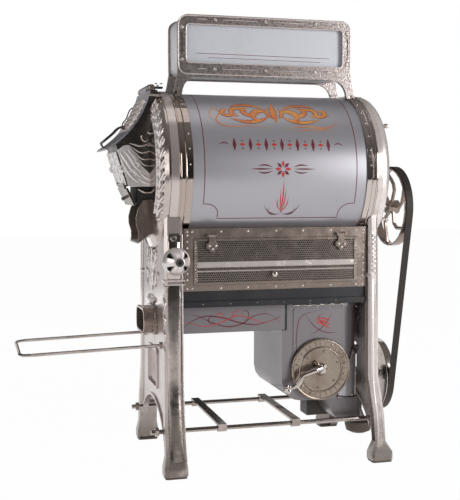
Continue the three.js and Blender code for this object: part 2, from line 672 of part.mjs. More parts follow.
function drivePinion() {
  const wheel = slab('x', gearOutline(drive.pinionTeeth, quarter, 0, counterHeight), gearPlace,
    gearPlace + drive.faceWidth);
  return cut(wheel, bar('x', shaft.counter + gap, gearPlace - overrun,
    gearPlace + drive.faceWidth + overrun, 0,
    counterHeight, 16));
}

// Pulleys and belt, all in one plane outside the right frame
const pulley = {
  upperRadius: 143.5, lowerRadius: 132, width: 32, rim: 6, crown: 1, hubRadius: 25, hubLength: 44, spokes: 5,
  spokeRadius: 7, spokeFootShare: 0.6, webThick: 7, flangeReach: 6, flangeThick: 4,
};
// How far along a spoke, and how far it swings there (in radians)
const spokeShares = [[0, 0], [0.2, 0.24], [0.4, 0.31], [0.6, 0.09], [0.8, -0.22], [1, -0.35]];
const beltForm = { width: 25, thick: 3.5, clear: 3 * gap };

function rimProfile(radius, x0, x1) {
  const inner = radius - pulley.rim;
  return [[inner, x0], [radius - pulley.crown, x0], [radius, (x0 + x1) / 2], [radius - pulley.crown, x1],
    [inner, x1],
    [inner, x0]];
}

function drivePulley() {
  const p = pulley;
  const [x0, x1] = [pulleyPlane - p.width / 2, pulleyPlane + p.width / 2];
  const rim = turned('x', rimProfile(p.upperRadius, x0, x1), 0, counterHeight, 26);
  const hub = bar('x', p.hubRadius, pulleyPlane - p.hubLength / 2, pulleyPlane + p.hubLength / 2, 0,
    counterHeight, 14);
  const reach = p.upperRadius - p.rim;
  const spokes = [];
  for (let i = 0; i < p.spokes; i += 1) {
    const start = 2 * Math.PI * (i + 1 / 4) / p.spokes;
    const points = spokeShares.map(([share, swing]) => {
      const r = THREE.MathUtils.lerp(p.hubRadius * p.spokeFootShare, reach, share);
      const angle = start + swing;
      return [pulleyPlane, r * Math.cos(angle), counterHeight + r * Math.sin(angle)];
    });
    spokes.push(rod(points, p.spokeRadius, { sides: 3, steps: 6 }));
  }
  const bore = bar('x', shaft.counter + gap, x0 - p.hubLength, x1 + p.hubLength, 0, counterHeight, 16);
  return cut(union(rim, hub, spokes), bore);
}

function fanPulley() {
  const p = pulley;
  const [x0, x1] = [pulleyPlane - p.width / 2, pulleyPlane + p.width / 2];
  const half = p.hubLength / 2;
  const wheelProfile = [[0, pulleyPlane - half], [p.hubRadius, pulleyPlane - half],
    [p.hubRadius, x0 + p.webThick], [p.lowerRadius - p.rim, x0],
    [p.lowerRadius + p.flangeReach, x0], [p.lowerRadius + p.flangeReach, x0 + p.flangeThick],
    [p.lowerRadius - p.crown, x0 + p.flangeThick], [p.lowerRadius - p.crown, x1], [p.lowerRadius - p.rim, x1],
    [p.lowerRadius - p.rim, x0 + p.webThick], [p.hubRadius, x0 + 2 * p.webThick],
    [p.hubRadius, pulleyPlane + half], [0, pulleyPlane + half]];
  const bore = bar('x', shaft.fan + gap, x0 - p.hubLength, x1 + p.hubLength, fan.shaftY, fan.shaftHeight, 12);
  return cut(turned('x', wheelProfile, fan.shaftY, fan.shaftHeight, 26), bore);
}

// The line of a belt round both pulleys, at a height over their rims
function beltLine(path, over) {
  const [r1, r2] = [pulley.upperRadius + over, pulley.lowerRadius + over];
  const [dy, dz] = [fan.shaftY, fan.shaftHeight - counterHeight];
  const distance = Math.hypot(dy, dz);
  const along = Math.atan2(dz, dy);
  const lean = Math.acos((r1 - r2) / distance);
  path.absarc(0, counterHeight, r1, along + lean, along - lean + 2 * Math.PI, false);
  path.absarc(fan.shaftY, fan.shaftHeight, r2, along - lean, along + lean, false);
  return path;
}

function driveBelt() {
  const outline = beltLine(new THREE.Shape(), beltForm.clear + beltForm.thick);
  outline.holes.push(beltLine(new THREE.Path(), beltForm.clear));
  return slab('x', outline, pulleyPlane - beltForm.width / 2 + pulley.flangeThick / 2,
    pulleyPlane + beltForm.width / 2 + pulley.flangeThick / 2, { curve: 10 });
}

// Shafts
const shaftEnds = { drumLeft: 4, stub: 8 };

function drumShaft() {
  const left = -(ends.left.bandEnd + shaft.socketDepth - shaftEnds.drumLeft);
  const right = ends.right.ringEnd + gap + ends.right.domeDepth - dome.wall - shaftEnds.drumLeft;
  return bar('x', shaft.drum, left, right, 0, drumAxisHeight, 12);
}

function counterShaft() {
  const left = shell.halfLength + headPlate.thickness - shaftEnds.stub;
  return bar('x', shaft.counter, left, pulleyPlane + pulley.hubLength / 2 + shaftEnds.stub, 0,
    counterHeight, 16);
}

// Fire door panel under the drum sheet, with a ledge back to the sheet and hinge ears at its top
const panelForm = {
  thick: 6, doorMargin: 33, sillRise: 19.4, hingeDrop: 23, doorDrop: 10, ledge: 5, earWidth: 6, earReach: 12,
  pinRadius: 2.4, hingeInset: 62, hingeOut: 7, barrelRadius: 5.4, barrelLength: 22,
};
const doorHalfLength = fireBox.halfLength - panelForm.doorMargin;
const hingeHeight = shell.skirtHeight - panelForm.hingeDrop;
const panel = {
  ...panelForm, doorHalfLength, doorSill: fireBox.sill + panelForm.sillRise,
  doorTop: hingeHeight - panelForm.doorDrop, hingeX: doorHalfLength - panelForm.hingeInset, hingeHeight,
};

function frontPanel() {
  const p = panel;
  const [front, back] = [-fireBox.faceY, -fireBox.faceY + p.thick];
  const half = fireBox.halfLength;
  const sheet = box(-half, half, front, back, fireBox.sill, shell.skirtHeight);
  const ledge = box(-shell.halfLength, shell.halfLength, back - overrun / 2, -shell.footY - gap,
    shell.skirtHeight - p.ledge, shell.skirtHeight);
  const doorway = box(-p.doorHalfLength - gap, p.doorHalfLength + gap, front - overrun, back + overrun,
    p.doorSill - gap, p.doorTop + gap);
  const ears = [-1, 1].flatMap((side) => {
    const x = side * p.hingeX;
    const axisY = front - p.hingeOut;
    const outer = p.barrelLength / 2 + gap + p.earWidth;
    return [
      ...[-1, 1].map((edge) => {
        const face = x + edge * (p.barrelLength / 2 + gap);
        return box(face, face + edge * p.earWidth, axisY - p.earReach / 2, front + overrun / 2,
          p.hingeHeight - p.earReach / 2, p.hingeHeight + p.earReach / 2);
      }),
      bar('x', p.pinRadius, x - outer, x + outer, axisY, p.hingeHeight, 8),
    ];
  });
  return union(cut(sheet, doorway), ledge, ears);
}

// Door of perforated sheet in a folded frame; its straps carry the hinge barrels
const door = {
  thick: 4, border: 9, borderRise: 2.5, slotRows: 3, slotColumns: 7, slotHeight: 12, slotShare: 0.62,
  strapThick: 3,
  strapDrop: 34, lobeRadius: 11, knobX: -12, knobRise: 32, knobRadius: 10.5, knobReach: 20, knobNeck: 5,
  knobShares: [0.8, 0.6],
};

function fireDoor() {
  const d = door;
  const front = -fireBox.faceY;
  const half = panel.doorHalfLength - gap;
  const [sill, top] = [panel.doorSill + gap, panel.doorTop - gap];
  const sheet = box(-half, half, front, front + d.thick, sill, top);
  const edge = new THREE.Shape();
  roundedRectangle(-half, half, sill, top, d.borderRise, edge);
  edge.holes.push(roundedRectangle(-half + d.border, half - d.border, sill + d.border, top - d.border,
    d.borderRise, new THREE.Path()));
  const frame = slab('y', edge, front - d.borderRise, front + d.thick / 2, { curve: 2 });
  const field = [half - 2 * d.border, (top - sill) - 4 * d.border];
  const [dx, dz] = [2 * field[0] / d.slotColumns, field[1] / d.slotRows];
  const slots = [];
  for (let i = 0; i < d.slotColumns; i += 1) {
    for (let j = 0; j < d.slotRows; j += 1) {
      const x = -field[0] + dx * (i + 1 / 2);
      const z = sill + 2 * d.border + dz * (j + 1 / 2);
      slots.push(box(x - dx * d.slotShare / 2, x + dx * d.slotShare / 2, front - overrun,
        front + d.thick + overrun,
        z - d.slotHeight / 2, z + d.slotHeight / 2));
    }
  }
  return cut(union(sheet, frame), slots);
}

function doorStrap(side) {
  const [p, d] = [panel, door];
  const x = side * p.hingeX;
  const front = -fireBox.faceY - gap;
  const axisY = -fireBox.faceY - p.hingeOut;
  const lobesZ = p.hingeHeight - d.strapDrop;
  const leaf = box(x - p.barrelLength / 2, x + p.barrelLength / 2, axisY - d.strapThick, axisY, lobesZ,
    p.hingeHeight);
  const pad = [[-1, 0], [1, 0], [0, -1]].map(([u, w]) => bar('y', d.lobeRadius, axisY - d.strapThick, axisY,
    x + u * d.lobeRadius, lobesZ + w * d.lobeRadius, 8));
  const spacer = box(x - p.barrelLength / 2, x + p.barrelLength / 2, axisY - d.strapThick / 2,
    front - d.borderRise, lobesZ - d.lobeRadius / 2, panel.doorTop - 2 * gap);
  const barrel = bar('x', p.barrelRadius, x - p.barrelLength / 2, x + p.barrelLength / 2, axisY,
    p.hingeHeight, 8);
  const bore = bar('x', p.pinRadius + gap, x - p.barrelLength, x + p.barrelLength, axisY, p.hingeHeight, 8);
  return cut(union(leaf, pad, spacer, barrel), bore);
}

function doorKnob() {
  const d = door;
  const front = -fireBox.faceY - gap;
  return turned('y', [[0, front], [d.knobNeck, front], [d.knobNeck, front - d.knobReach / 3],
    [d.knobRadius, front - d.knobReach / 2],
    [d.knobRadius, front - d.knobReach * d.knobShares[0]],
    [d.knobRadius * d.knobShares[1], front - d.knobReach],
    [0, front - d.knobReach]], d.knobX, panel.doorSill + d.knobRise, 12);
}

// Sheet back of the fire box and the dark pan that closes it below
const backSheet = { thick: 4 };

function backPanel() {
  const y = fireBox.faceY;
  return union(
    box(-fireBox.halfLength, fireBox.halfLength, y - backSheet.thick, y, fireBox.sill, shell.skirtHeight),
    box(-shell.halfLength, shell.halfLength, shell.footY + gap, y - backSheet.thick / 2,
      shell.skirtHeight - panel.ledge, shell.skirtHeight));
}

function ashPan() {
  const half = fireBox.halfLength;
  const top = fireBox.sill - gap;
  const outside = union(box(-half, half, -pan.depth, pan.depth, pan.bottom, top),
    box(-half, half, -pan.depth - pan.flangeReach, pan.depth + pan.flangeReach, pan.bottom,
      pan.bottom + pan.flange));
  return cut(outside, box(-half + pan.wall, half - pan.wall, -pan.depth + pan.wall,
    pan.depth - pan.wall, pan.bottom + pan.wall, top + overrun));
}

// Suction duct from the left end to the fan housing, its gasket and its mouth on the left frame
const mouthForm = { underDuct: 10, underPan: 17 };
const duct = {
  ...ductForm, top: pan.bottom - gap, bottom: ductBottom, halfDepth: fireBox.faceY - ductForm.inset,
  spoutHalfWidth: 75, spoutBottom: ductBottom - mouthForm.underDuct,
  spoutTop: pan.bottom - mouthForm.underPan,
  spoutReach: 46, spoutWall: 6, spoutCorner: 30, flangeThick: 8, flangeFoot: 8,
};

function suctionDuct() {
  const left = -(ends.left.legOuter - frameForm.webInset - frameForm.wall - gap);
  const outside = box(left, duct.right, -duct.halfDepth, duct.halfDepth, duct.bottom, duct.top);
  const inside = box(left - overrun, duct.right + overrun, -duct.halfDepth + duct.wall,
    duct.halfDepth - duct.wall,
    duct.bottom + duct.wall, duct.top - duct.wall);
  return cut(outside, inside);
}

function ductGasket() {
  const [x0, x1] = [duct.right + gap, duct.right + duct.gasket - gap];
  const reach = duct.wall * 2;
  return cut(box(x0, x1, -duct.halfDepth, duct.halfDepth, duct.bottom, duct.top),
    box(x0 - overrun, x1 + overrun, -duct.halfDepth + reach, duct.halfDepth - reach, duct.bottom + reach,
      duct.top - reach));
}

function ductSpout() {
  const d = duct;
  const webFace = -(ends.left.legOuter - frameForm.webInset);
  const mouth = webFace - d.spoutReach;
  const neck = webFace + frameForm.wall;
  const outline = (extra) => roundedRectangle(-d.spoutHalfWidth - extra, d.spoutHalfWidth + extra,
    d.spoutBottom - extra, d.spoutTop + extra, d.spoutCorner + extra);
  const tube = slab('x', outline(0), mouth, neck, { curve: 2 });
  const bead = slab('x', outline(d.spoutWall / 3), mouth, mouth + d.flangeThick, { curve: 2 });
  const flange = slab('x', outline(d.flangeFoot), webFace - gap - d.flangeThick, webFace - gap, { curve: 2 });
  const bore = slab('x', roundedRectangle(-d.spoutHalfWidth + d.spoutWall, d.spoutHalfWidth - d.spoutWall,
    d.spoutBottom + d.spoutWall, d.spoutTop - d.spoutWall, d.spoutCorner - d.spoutWall), mouth - overrun,
    neck + overrun, { curve: 2 });
  return cut(union(tube, bead, flange), bore);
}

const binForm = {
  rightInset: 3, width: 104, frontInset: 15, scrollClear: 56, drop: 86, lip: 14, sweep: 60, wall: 3, peg: 4,
};
const binRight = fireBox.halfLength - binForm.rightInset;
const latchForm = {
  intoBin: 38, rise: 167, width: 13, thick: 4, pinRadius: 4.5, headRadius: 11, headLength: 8, eyeShare: 0.8,
};

// Painted housing of the fan: a rounded box with a scroll at its lower back
const housingForm = {
  inset: 1, skirtLeft: 33, shaftRise: 21, frontInset: 43.5, wall: 3, corner: 70, frontCorner: 62, stepDrop: 3,
  scrollRadius: 96, scrollLength: 94, discX: 170, coverShare: 0.317, holeInset: 24, flange: 18,
  flangeReach: 5,
  raise: 2.5, raiseInset: 24, raiseCorner: 10,
};
const housingRight = fireBox.halfLength - housingForm.inset;
const housingBottom = fan.shaftHeight - housingForm.shaftRise;
const coverRadius = (duct.top - housingBottom) * housingForm.coverShare;
const housing = {
  ...housingForm, left: duct.right + duct.gasket + gap, right: housingRight, top: duct.top,
  bottom: housingBottom, front: fireBox.faceY - housingForm.frontInset, back: duct.halfDepth,
  step: duct.bottom - housingForm.stepDrop, scrollFrom: housingRight - housingForm.scrollLength,
  discHeight: housingBottom + coverRadius, holeRadius: coverRadius - housingForm.holeInset,
};
const bin = {
  ...binForm, left: binRight - binForm.width, right: binRight, front: housing.front - binForm.frontInset,
  back: binForm.scrollClear + housing.scrollRadius - fan.shaftY,
};
const latch = { ...latchForm, y: bin.front - latchForm.intoBin, height: housing.bottom + latchForm.rise };

function housingOutline(inset) {
  const h = housing;
  const r = h.corner - inset;
  const shape = new THREE.Shape();
  shape.moveTo(h.right - inset, h.top - inset);
  shape.lineTo(h.left + inset, h.top - inset);
  shape.lineTo(h.left + inset, h.step - inset);
  shape.lineTo(h.skirtLeft + inset, h.step - inset);
  shape.lineTo(h.skirtLeft + inset, h.bottom + h.corner);
  shape.absarc(h.skirtLeft + h.corner, h.bottom + h.corner, r, Math.PI, Math.PI + quarter);
  shape.lineTo(h.right - inset, h.bottom + inset);
  return shape;
}

function housingPlan(inset) {
  const h = housing;
  const r = h.frontCorner - inset;
  const shape = new THREE.Shape();
  shape.moveTo(h.skirtLeft + inset, -h.front + inset);
  shape.lineTo(h.right - h.frontCorner, -h.front + inset);
  shape.absarc(h.right - h.frontCorner, -h.front + h.frontCorner, r, -quarter, 0);
  shape.lineTo(h.right - inset, h.back - inset);
  shape.lineTo(h.skirtLeft + inset, h.back - inset);
  return shape;
}

function housingBlock(inset) {
  const h = housing;
  const profile = slab('y', housingOutline(inset), -h.front + inset, h.back - inset, { curve: 2 });
  const plan = slab('z', housingPlan(inset), h.bottom + inset, h.top - inset, { curve: 2 });
  const scroll = bar('x', h.scrollRadius - inset, h.scrollFrom + inset, h.right - inset, fan.shaftY,
    fan.shaftHeight, 20);
  return union(profile.intersect(plan), scroll);
}

function fanHousing() {
  const h = housing;
  const lip = slab('y', housingOutline(0), -h.front - h.flangeReach, h.back, { curve: 2 });
  const lipPlan = slab('z', housingPlan(-h.flangeReach), h.top - h.flange, h.top, { curve: 2 });
  const raised = slab('y', roundedRectangle(h.left + h.raiseInset, h.right - h.frontCorner,
    h.discHeight, h.top - h.flange, h.raiseCorner), -h.front - h.raise, -h.front + h.wall / 2, { curve: 1 });
  const coverSeat = bar('y', (cover.radius + gap) * facetReach, -h.front - h.raise - overrun, -h.front,
    h.discX,
    h.discHeight, ringFacets);
  const hole = bar('y', h.holeRadius, -h.front - overrun, -h.front + h.wall + overrun, h.discX,
    h.discHeight, 24);
  const ductWay = box(h.left - overrun, h.left + h.wall + overrun, -duct.halfDepth + 2 * duct.wall + h.wall,
    duct.halfDepth - 2 * duct.wall - h.wall, h.step + h.wall, duct.top - 2 * duct.wall);
  const shaftHole = turningHole('x', shaft.fan, h.scrollFrom, h.right + overrun, fan.shaftY, fan.shaftHeight);
  const binWay = box(bin.left + bin.wall, bin.right - bin.wall, -bin.front + bin.wall, -bin.back - bin.wall,
    h.bottom - overrun, h.bottom + h.wall + overrun);
  const pivot = bar('x', latch.pinRadius, h.right - h.wall,
    h.right + latch.thick + 3 * gap + latch.headLength,
    -latch.y, latch.height, 10);
  const head = bar('x', latch.headRadius, h.right + latch.thick + 2 * gap,
    h.right + latch.thick + 2 * gap + latch.headLength, -latch.y, latch.height, 10);
  const body = union(housingBlock(0), lip.intersect(lipPlan), cut(raised, coverSeat));
  return union(cut(body, housingBlock(h.wall), hole, ductWay, shaftHole, binWay), pivot, head);
}

// Fan on its shaft, with the outboard pedestal bearing
const wheelSetBack = 26;
const wheel = {
  radius: 84, plate: 4, bladeHeight: 40, bladeThick: 3, blades: 6, bladeLean: Math.PI / 7, hubRadius: 20,
  from: housing.scrollFrom + wheelSetBack,
};
const pedestalOffset = 85;
const pedestal = {
  x: ends.right.ringEnd + pedestalOffset, footRadius: 52, bowlHeight: 44, neckRadius: 15, columnRadius: 13,
  blockRadius: 28, blockLength: 46,
};
// Radius and height of the foot's bowl, as shares of its size
const bowlShares = [[0, 0], [0.55, 0], [0.9, 0.2], [1, 0.7], [1, 1]];

function fanShaft() {
  return bar('x', shaft.fan, wheel.from - shaftEnds.stub, pulleyPlane + pulley.hubLength / 2 + shaftEnds.stub,
    fan.shaftY, fan.shaftHeight, 12);
}

function fanWheel() {
  const w = wheel;
  const plate = bar('x', w.radius, w.from, w.from + w.plate, fan.shaftY, fan.shaftHeight, 20);
  const hub = bar('x', w.hubRadius, w.from, w.from + w.bladeHeight, fan.shaftY, fan.shaftHeight, 12);
  const blades = [];
  for (let i = 0; i < w.blades; i += 1) {
    const blade = new THREE.BoxGeometry(w.bladeHeight, w.radius - w.hubRadius, w.bladeThick);
    blade.rotateX(w.bladeLean).translate(w.from + w.bladeHeight / 2, (w.radius + w.hubRadius) / 2, 0);
    blade.rotateX(2 * Math.PI * i / w.blades).translate(0, fan.shaftY, fan.shaftHeight);
    blades.push(solid(blade));
  }
  const limit = bar('x', w.radius, w.from, w.from + w.bladeHeight, fan.shaftY, fan.shaftHeight, 20);
  const bore = bar('x', shaft.fan + gap, w.from - overrun, w.from + w.bladeHeight + overrun, fan.shaftY,
    fan.shaftHeight, 16);
  return cut(union(plate, hub, union(blades).intersect(limit)), bore);
}

function shaftPedestal() {
  const p = pedestal;
  const top = fan.shaftHeight - p.blockRadius / 2;
  const column = turned('z', [...bowlShares.map(([r, h]) => [r * p.footRadius, h * p.bowlHeight]),
    [p.neckRadius + p.blockRadius / 3, p.bowlHeight + p.neckRadius],
    [p.columnRadius, p.bowlHeight + 3 * p.neckRadius], [p.columnRadius, top - p.neckRadius],
    [p.neckRadius + p.blockRadius / 4, top], [0, top]], p.x, fan.shaftY, 16);
  const block = bar('x', p.blockRadius, p.x - p.blockLength / 2, p.x + p.blockLength / 2, fan.shaftY,
    fan.shaftHeight, 16);
  const bore = turningHole('x', shaft.fan, p.x - p.blockLength, p.x + p.blockLength, fan.shaftY,
    fan.shaftHeight);
  return cut(union(column, block), bore);
}

// Round cover on the housing with a stepped face, and the damper that turns in it
const coverForm = {
  innerInset: 33, rimHeight: 16, step: 5, bossRadius: 17, bossHeight: 10, spindle: 7, ports: 4,
  portShare: 0.34, portInner: 0.36, portOuter: 0.82, plateGap: 1, plateThick: 3, facets: 26,
};
const cover = { ...coverForm, radius: coverRadius, innerRadius: coverRadius - coverForm.innerInset };
const lever = {
  hubRadius: 11, hubLength: 16, bendX: 72, bendDrop: 8, elbowX: 92, elbowDrop: 46, gripX: 128, gripDrop: 56,
  out: 12, width: 6.5, lobe: 9, lobes: 3, lobeLean: 0.4, lobeTurn: 1.4, lugRadius: 6, lugTurns: [1.05, 1.95],
  lugShare: 0.8, bendShare: 0.3,
};

function sector(inner, outer, from, to) {
  const shape = new THREE.Shape();
  shape.absarc(0, 0, outer, from, to, false);
  shape.absarc(0, 0, inner, to, from, true);
  return shape;
}

function portHoles(y0, y1, turn = 0) {
  const holes = [];
  for (let i = 0; i < cover.ports; i += 1) {
    const middle = turn + 2 * Math.PI * (i + 1 / 2) / cover.ports;
    const half = Math.PI * cover.portShare / cover.ports;
    const tool = new THREE.ExtrudeGeometry(sector(cover.portInner * cover.innerRadius,
      cover.portOuter * cover.innerRadius, middle - half, middle + half),
    { depth: y1 - y0, bevelEnabled: false, curveSegments: 1 });
    tool.applyMatrix4(axisBasis.y).translate(housing.discX, y1, housing.discHeight);
    holes.push(solid(tool));
  }
  return holes;
}

function damperCover() {
  const c = cover;
  const base = -housing.front - gap;
  const face = base - c.rimHeight;
  const disc = turned('y', [[0, base], [c.radius, base], [c.radius, face + c.step], [c.radius - c.step, face],
    [c.innerRadius, face], [c.innerRadius, face + c.step], [c.bossRadius, face + c.step],
    [c.bossRadius, face + c.step - c.bossHeight], [0, face + c.step - c.bossHeight]],
  housing.discX, housing.discHeight, c.facets);
  const hollow = bar('y', housing.holeRadius - c.step, face + 2 * c.step, base + overrun, housing.discX,
    housing.discHeight, 20);
  const bore = turningHole('y', c.spindle, face - c.bossHeight - overrun, base + overrun, housing.discX,
    housing.discHeight);
  return cut(disc, hollow, bore);
}

function damperPlate() {
  const c = cover;
  const back = -housing.front - gap - c.rimHeight + 2 * c.step + c.plateGap;
  const plate = bar('y', housing.holeRadius - 2 * c.step, back, back + c.plateThick, housing.discX,
    housing.discHeight, 20);
  return cut(plate, portHoles(back - overrun, back + c.plateThick + overrun),
    bar('y', c.spindle + gap, back - overrun, back + c.plateThick + overrun, housing.discX,
    housing.discHeight, 12));
}

function damperLever() {
  const c = cover;
  const l = lever;
  const seat = -housing.front - gap - c.rimHeight + c.step - c.bossHeight - gap;
  const [x, z] = [housing.discX, housing.discHeight];
  const spindleBack = -housing.front - gap - c.rimHeight + 2 * c.step + c.plateGap + c.plateThick + gap;
  const hub = bar('y', l.hubRadius, seat - l.hubLength, seat, x, z, 12);
  const spindle = bar('y', c.spindle, seat - overrun, spindleBack + c.plateThick, x, z, 12);
  const middle = seat - l.hubLength / 2;
  const arm = rod([[x, middle, z], [x - l.bendX / 2, middle - l.out / 3, z - l.bendDrop / 3],
    [x - l.bendX, middle - l.out, z - l.bendDrop], [x - (l.bendX + l.elbowX) / 2, middle - l.out,
      z - (l.bendDrop + l.elbowDrop) / 2], [x - l.elbowX, middle - l.out, z - l.elbowDrop],
    [x - l.gripX, middle - l.out, z - l.gripDrop]], l.width, { sides: 3, steps: 9, tension: l.bendShare });
  const lobes = [];
  for (let i = 0; i < l.lobes; i += 1) {
    const angle = Math.PI + l.lobeLean + (i - 1) * l.lobeTurn;
    const ball = new THREE.SphereGeometry(l.lobe, 6, 4);
    ball.translate(x - l.gripX + l.lobe * Math.cos(angle), middle - l.out,
      z - l.gripDrop + l.lobe * Math.sin(angle));
    lobes.push(solid(ball));
  }
  const lugPlace = l.hubRadius + l.lugRadius * l.lugShare;
  const lugs = l.lugTurns.map((angle) => bar('y', l.lugRadius, seat - l.hubLength * l.lugShare, seat,
    x + lugPlace * Math.cos(angle), z + lugPlace * Math.sin(angle), 6));
  return union(hub, spindle, arm, lobes, lugs);
}

// Chaff bin under the housing, hinged on its left edge and held by a spring strap, open below for the
// bin's peg
function chaffBin() {
  const b = bin;
  const outline = (inset) => {
    const shape = new THREE.Shape();
    const top = housing.bottom - gap;
    shape.moveTo(b.left + inset, top);
    shape.lineTo(b.left + inset, top - b.lip);
    shape.absellipse(b.left + b.sweep, top - b.lip, b.sweep - inset, b.drop - b.lip - inset, Math.PI,
      Math.PI * 1.5, false);
    shape.lineTo(b.right - inset, top - b.drop + inset);
    shape.lineTo(b.right - inset, top);
    return shape;
  };
  const outside = slab('y', outline(0), -b.front, -b.back, { curve: 6 });
  const inside = slab('y', outline(b.wall), -b.front + b.wall, -b.back - b.wall, { curve: 6 });
  const way = box(b.left + b.wall, b.right - b.wall, -b.front + b.wall, -b.back - b.wall,
    housing.bottom - b.lip - gap, housing.bottom + overrun);
  const catchPeg = bar('x', b.peg, b.right - b.wall, housing.right + 3 * gap + 2 * latch.thick, -latch.y,
    housing.bottom - b.drop / 2, 8);
  return union(cut(outside, inside, way), catchPeg);
}

function binLatch() {
  const x0 = housing.right + gap;
  const bottom = housing.bottom - bin.drop / 2;
  const w = latch.width;
  const strap = box(x0, x0 + latch.thick, -latch.y - w / 2, -latch.y + w / 2, bottom - w / 2,
    latch.height + w / 2);
  const eye = bar('x', w * latch.eyeShare, x0, x0 + latch.thick, -latch.y, latch.height, 10);
  const hook = bar('x', w, x0, x0 + latch.thick, -latch.y, bottom, 10);
  const pegWay = bin.peg + 3 * gap;
  const notch = box(x0 - overrun, x0 + latch.thick + overrun, -latch.y - pegWay, -latch.y + pegWay,
    bottom - 2 * w, bottom + pegWay);
  return cut(union(strap, eye, hook), notch, bar('x', latch.pinRadius + gap, x0 - overrun,
    x0 + latch.thick + overrun,
    -latch.y, latch.height, 12));
}

// Straight and bent lengths of round bar between points
function strut(from, to, radius, sides = 6) {
  const [a, b] = [new THREE.Vector3(...from), new THREE.Vector3(...to)];
  const geometry = new THREE.CylinderGeometry(radius, radius, a.distanceTo(b), sides);
  const turn = new THREE.Quaternion().setFromUnitVectors(new THREE.Vector3(0, 1, 0),
    b.clone().sub(a).normalize());
  geometry.applyQuaternion(turn).translate(...a.add(b).multiplyScalar(1 / 2).toArray());
  return solid(geometry);
}

function bend(from, corner, to, radius, { sides = 3, steps = 2 } = {}) {
  const path = new THREE.QuadraticBezierCurve3(...[from, corner, to].map((p) => new THREE.Vector3(...p)));
  const section = new THREE.Shape();
  section.absarc(0, 0, radius, 0, 2 * Math.PI);
  return solid(new THREE.ExtrudeGeometry(section, {
    extrudePath: path, steps, curveSegments: sides, bevelEnabled: false,
  }));
}

// Gas burner: mixing pipe through the left front leg, ported pipe under the drum, and a turning air shutter
const burnerSizes = {
  pastLeg: 27, bore: 11, endInset: 9, fitting: 19, fittingHalf: 20, ports: 6, portRadius: 2.4, bellRadius: 46,
  collar: 20, collarClear: 5, collarLength: 24, neckLength: 14, skirtLength: 18, ringRadius: 16, ringReach: 6,
  eyeRadius: 6, wall: 3.5, windows: 4, windowInner: 21, windowOuter: 38, windowShare: 0.6,
  pilotIntoLeg: 33, pilotRise: 76, pilotRadius: 9, pilotBore: 5, pilotReach: 16, pilotPlate: 4,
  pilotHalfWidth: 20, pilotHalfHeight: 15,
};
const collarBack = stand.legFace + burnerSizes.collarClear;
const neckFront = collarBack + burnerSizes.collarLength;
const skirtFront = neckFront + burnerSizes.neckLength;
const burnerParts = {
  ...burnerSizes, front: stand.legFace + burnerSizes.pastLeg, collarBack, neckFront, skirtFront,
  faceFront: skirtFront + burnerSizes.skirtLength, pilotHeight: burner.height + burnerSizes.pilotRise,
};

function burnerPipe() {
  const b = burnerParts;
  const mixer = bar('y', burner.pipe, -b.front, 0, -burner.x, burner.height, 8);
  const pipeEnd = shell.halfLength - b.endInset;
  const length = bar('x', burner.pipe, -burner.x, pipeEnd, 0, burner.height, 8);
  const fitting = bar('z', b.fitting, burner.height - b.fittingHalf, burner.height + b.fittingHalf,
    -burner.x, 0, 8);
  const ports = [];
  for (let i = 0; i < b.ports; i += 1) {
    const x = -burner.x + (pipeEnd + burner.x) * (i + 1) / (b.ports + 1);
    ports.push(bar('z', b.portRadius, burner.height, burner.height + 2 * burner.pipe, x, 0, 6));
  }
  const bores = [bar('y', b.bore, -b.front - overrun, 0, -burner.x, burner.height, 8),
    bar('x', b.bore, -burner.x - b.bore / 2, pipeEnd - b.wall, 0, burner.height, 8)];
  return cut(union(mixer, length, fitting), bores, ports);
}

function airShutter() {
  const b = burnerParts;
  const inner = burner.pipe + gap;
  const bell = turned('y', [
    [inner, -b.collarBack], [inner, -b.neckFront], [b.bellRadius - 2 * b.wall, -b.skirtFront],
    [b.bellRadius - b.wall, -b.faceFront + b.wall], [b.eyeRadius, -b.faceFront + b.wall],
    [b.eyeRadius, -b.faceFront - b.ringReach], [b.ringRadius, -b.faceFront - b.ringReach],
    [b.ringRadius, -b.faceFront], [b.bellRadius, -b.faceFront], [b.bellRadius, -b.skirtFront - b.wall],
    [b.collar, -b.neckFront + b.wall], [b.collar, -b.collarBack], [inner, -b.collarBack],
  ], -burner.x, burner.height, 16);
  const windows = [];
  for (let i = 0; i < b.windows; i += 1) {
    const middle = 2 * Math.PI * (i + 1 / 2) / b.windows;
    const half = Math.PI * b.windowShare / b.windows;
    const tool = new THREE.ExtrudeGeometry(sector(b.windowInner, b.windowOuter, middle - half, middle + half),
      { depth: b.wall * 3, bevelEnabled: false, curveSegments: 1 });
    tool.applyMatrix4(axisBasis.y).translate(-burner.x, -b.faceFront + 2 * b.wall, burner.height);
    windows.push(solid(tool));
  }
  return cut(bell, windows);
}

function pilotElbow() {
  const b = burnerParts;
  const x = -ends.left.legInner - b.pilotIntoLeg;
  const seat = -legFaceAt(b.pilotHeight - b.pilotHalfHeight) - gap;
  const plate = slab('y', roundedRectangle(x - b.pilotHalfWidth + b.wall, x + b.pilotHalfWidth + b.wall,
    b.pilotHeight - b.pilotHalfHeight, b.pilotHeight + b.pilotHalfHeight, b.pilotBore), seat - b.pilotPlate,
    seat,
  { curve: 1 });
  const tube = bar('y', b.pilotRadius, seat - b.pilotReach, seat - b.pilotPlate / 2, x, b.pilotHeight, 12);
  const bore = bar('y', b.pilotBore, seat - b.pilotReach - overrun, seat - b.pilotPlate, x, b.pilotHeight, 8);
  return cut(union(plate, tube), bore);
}

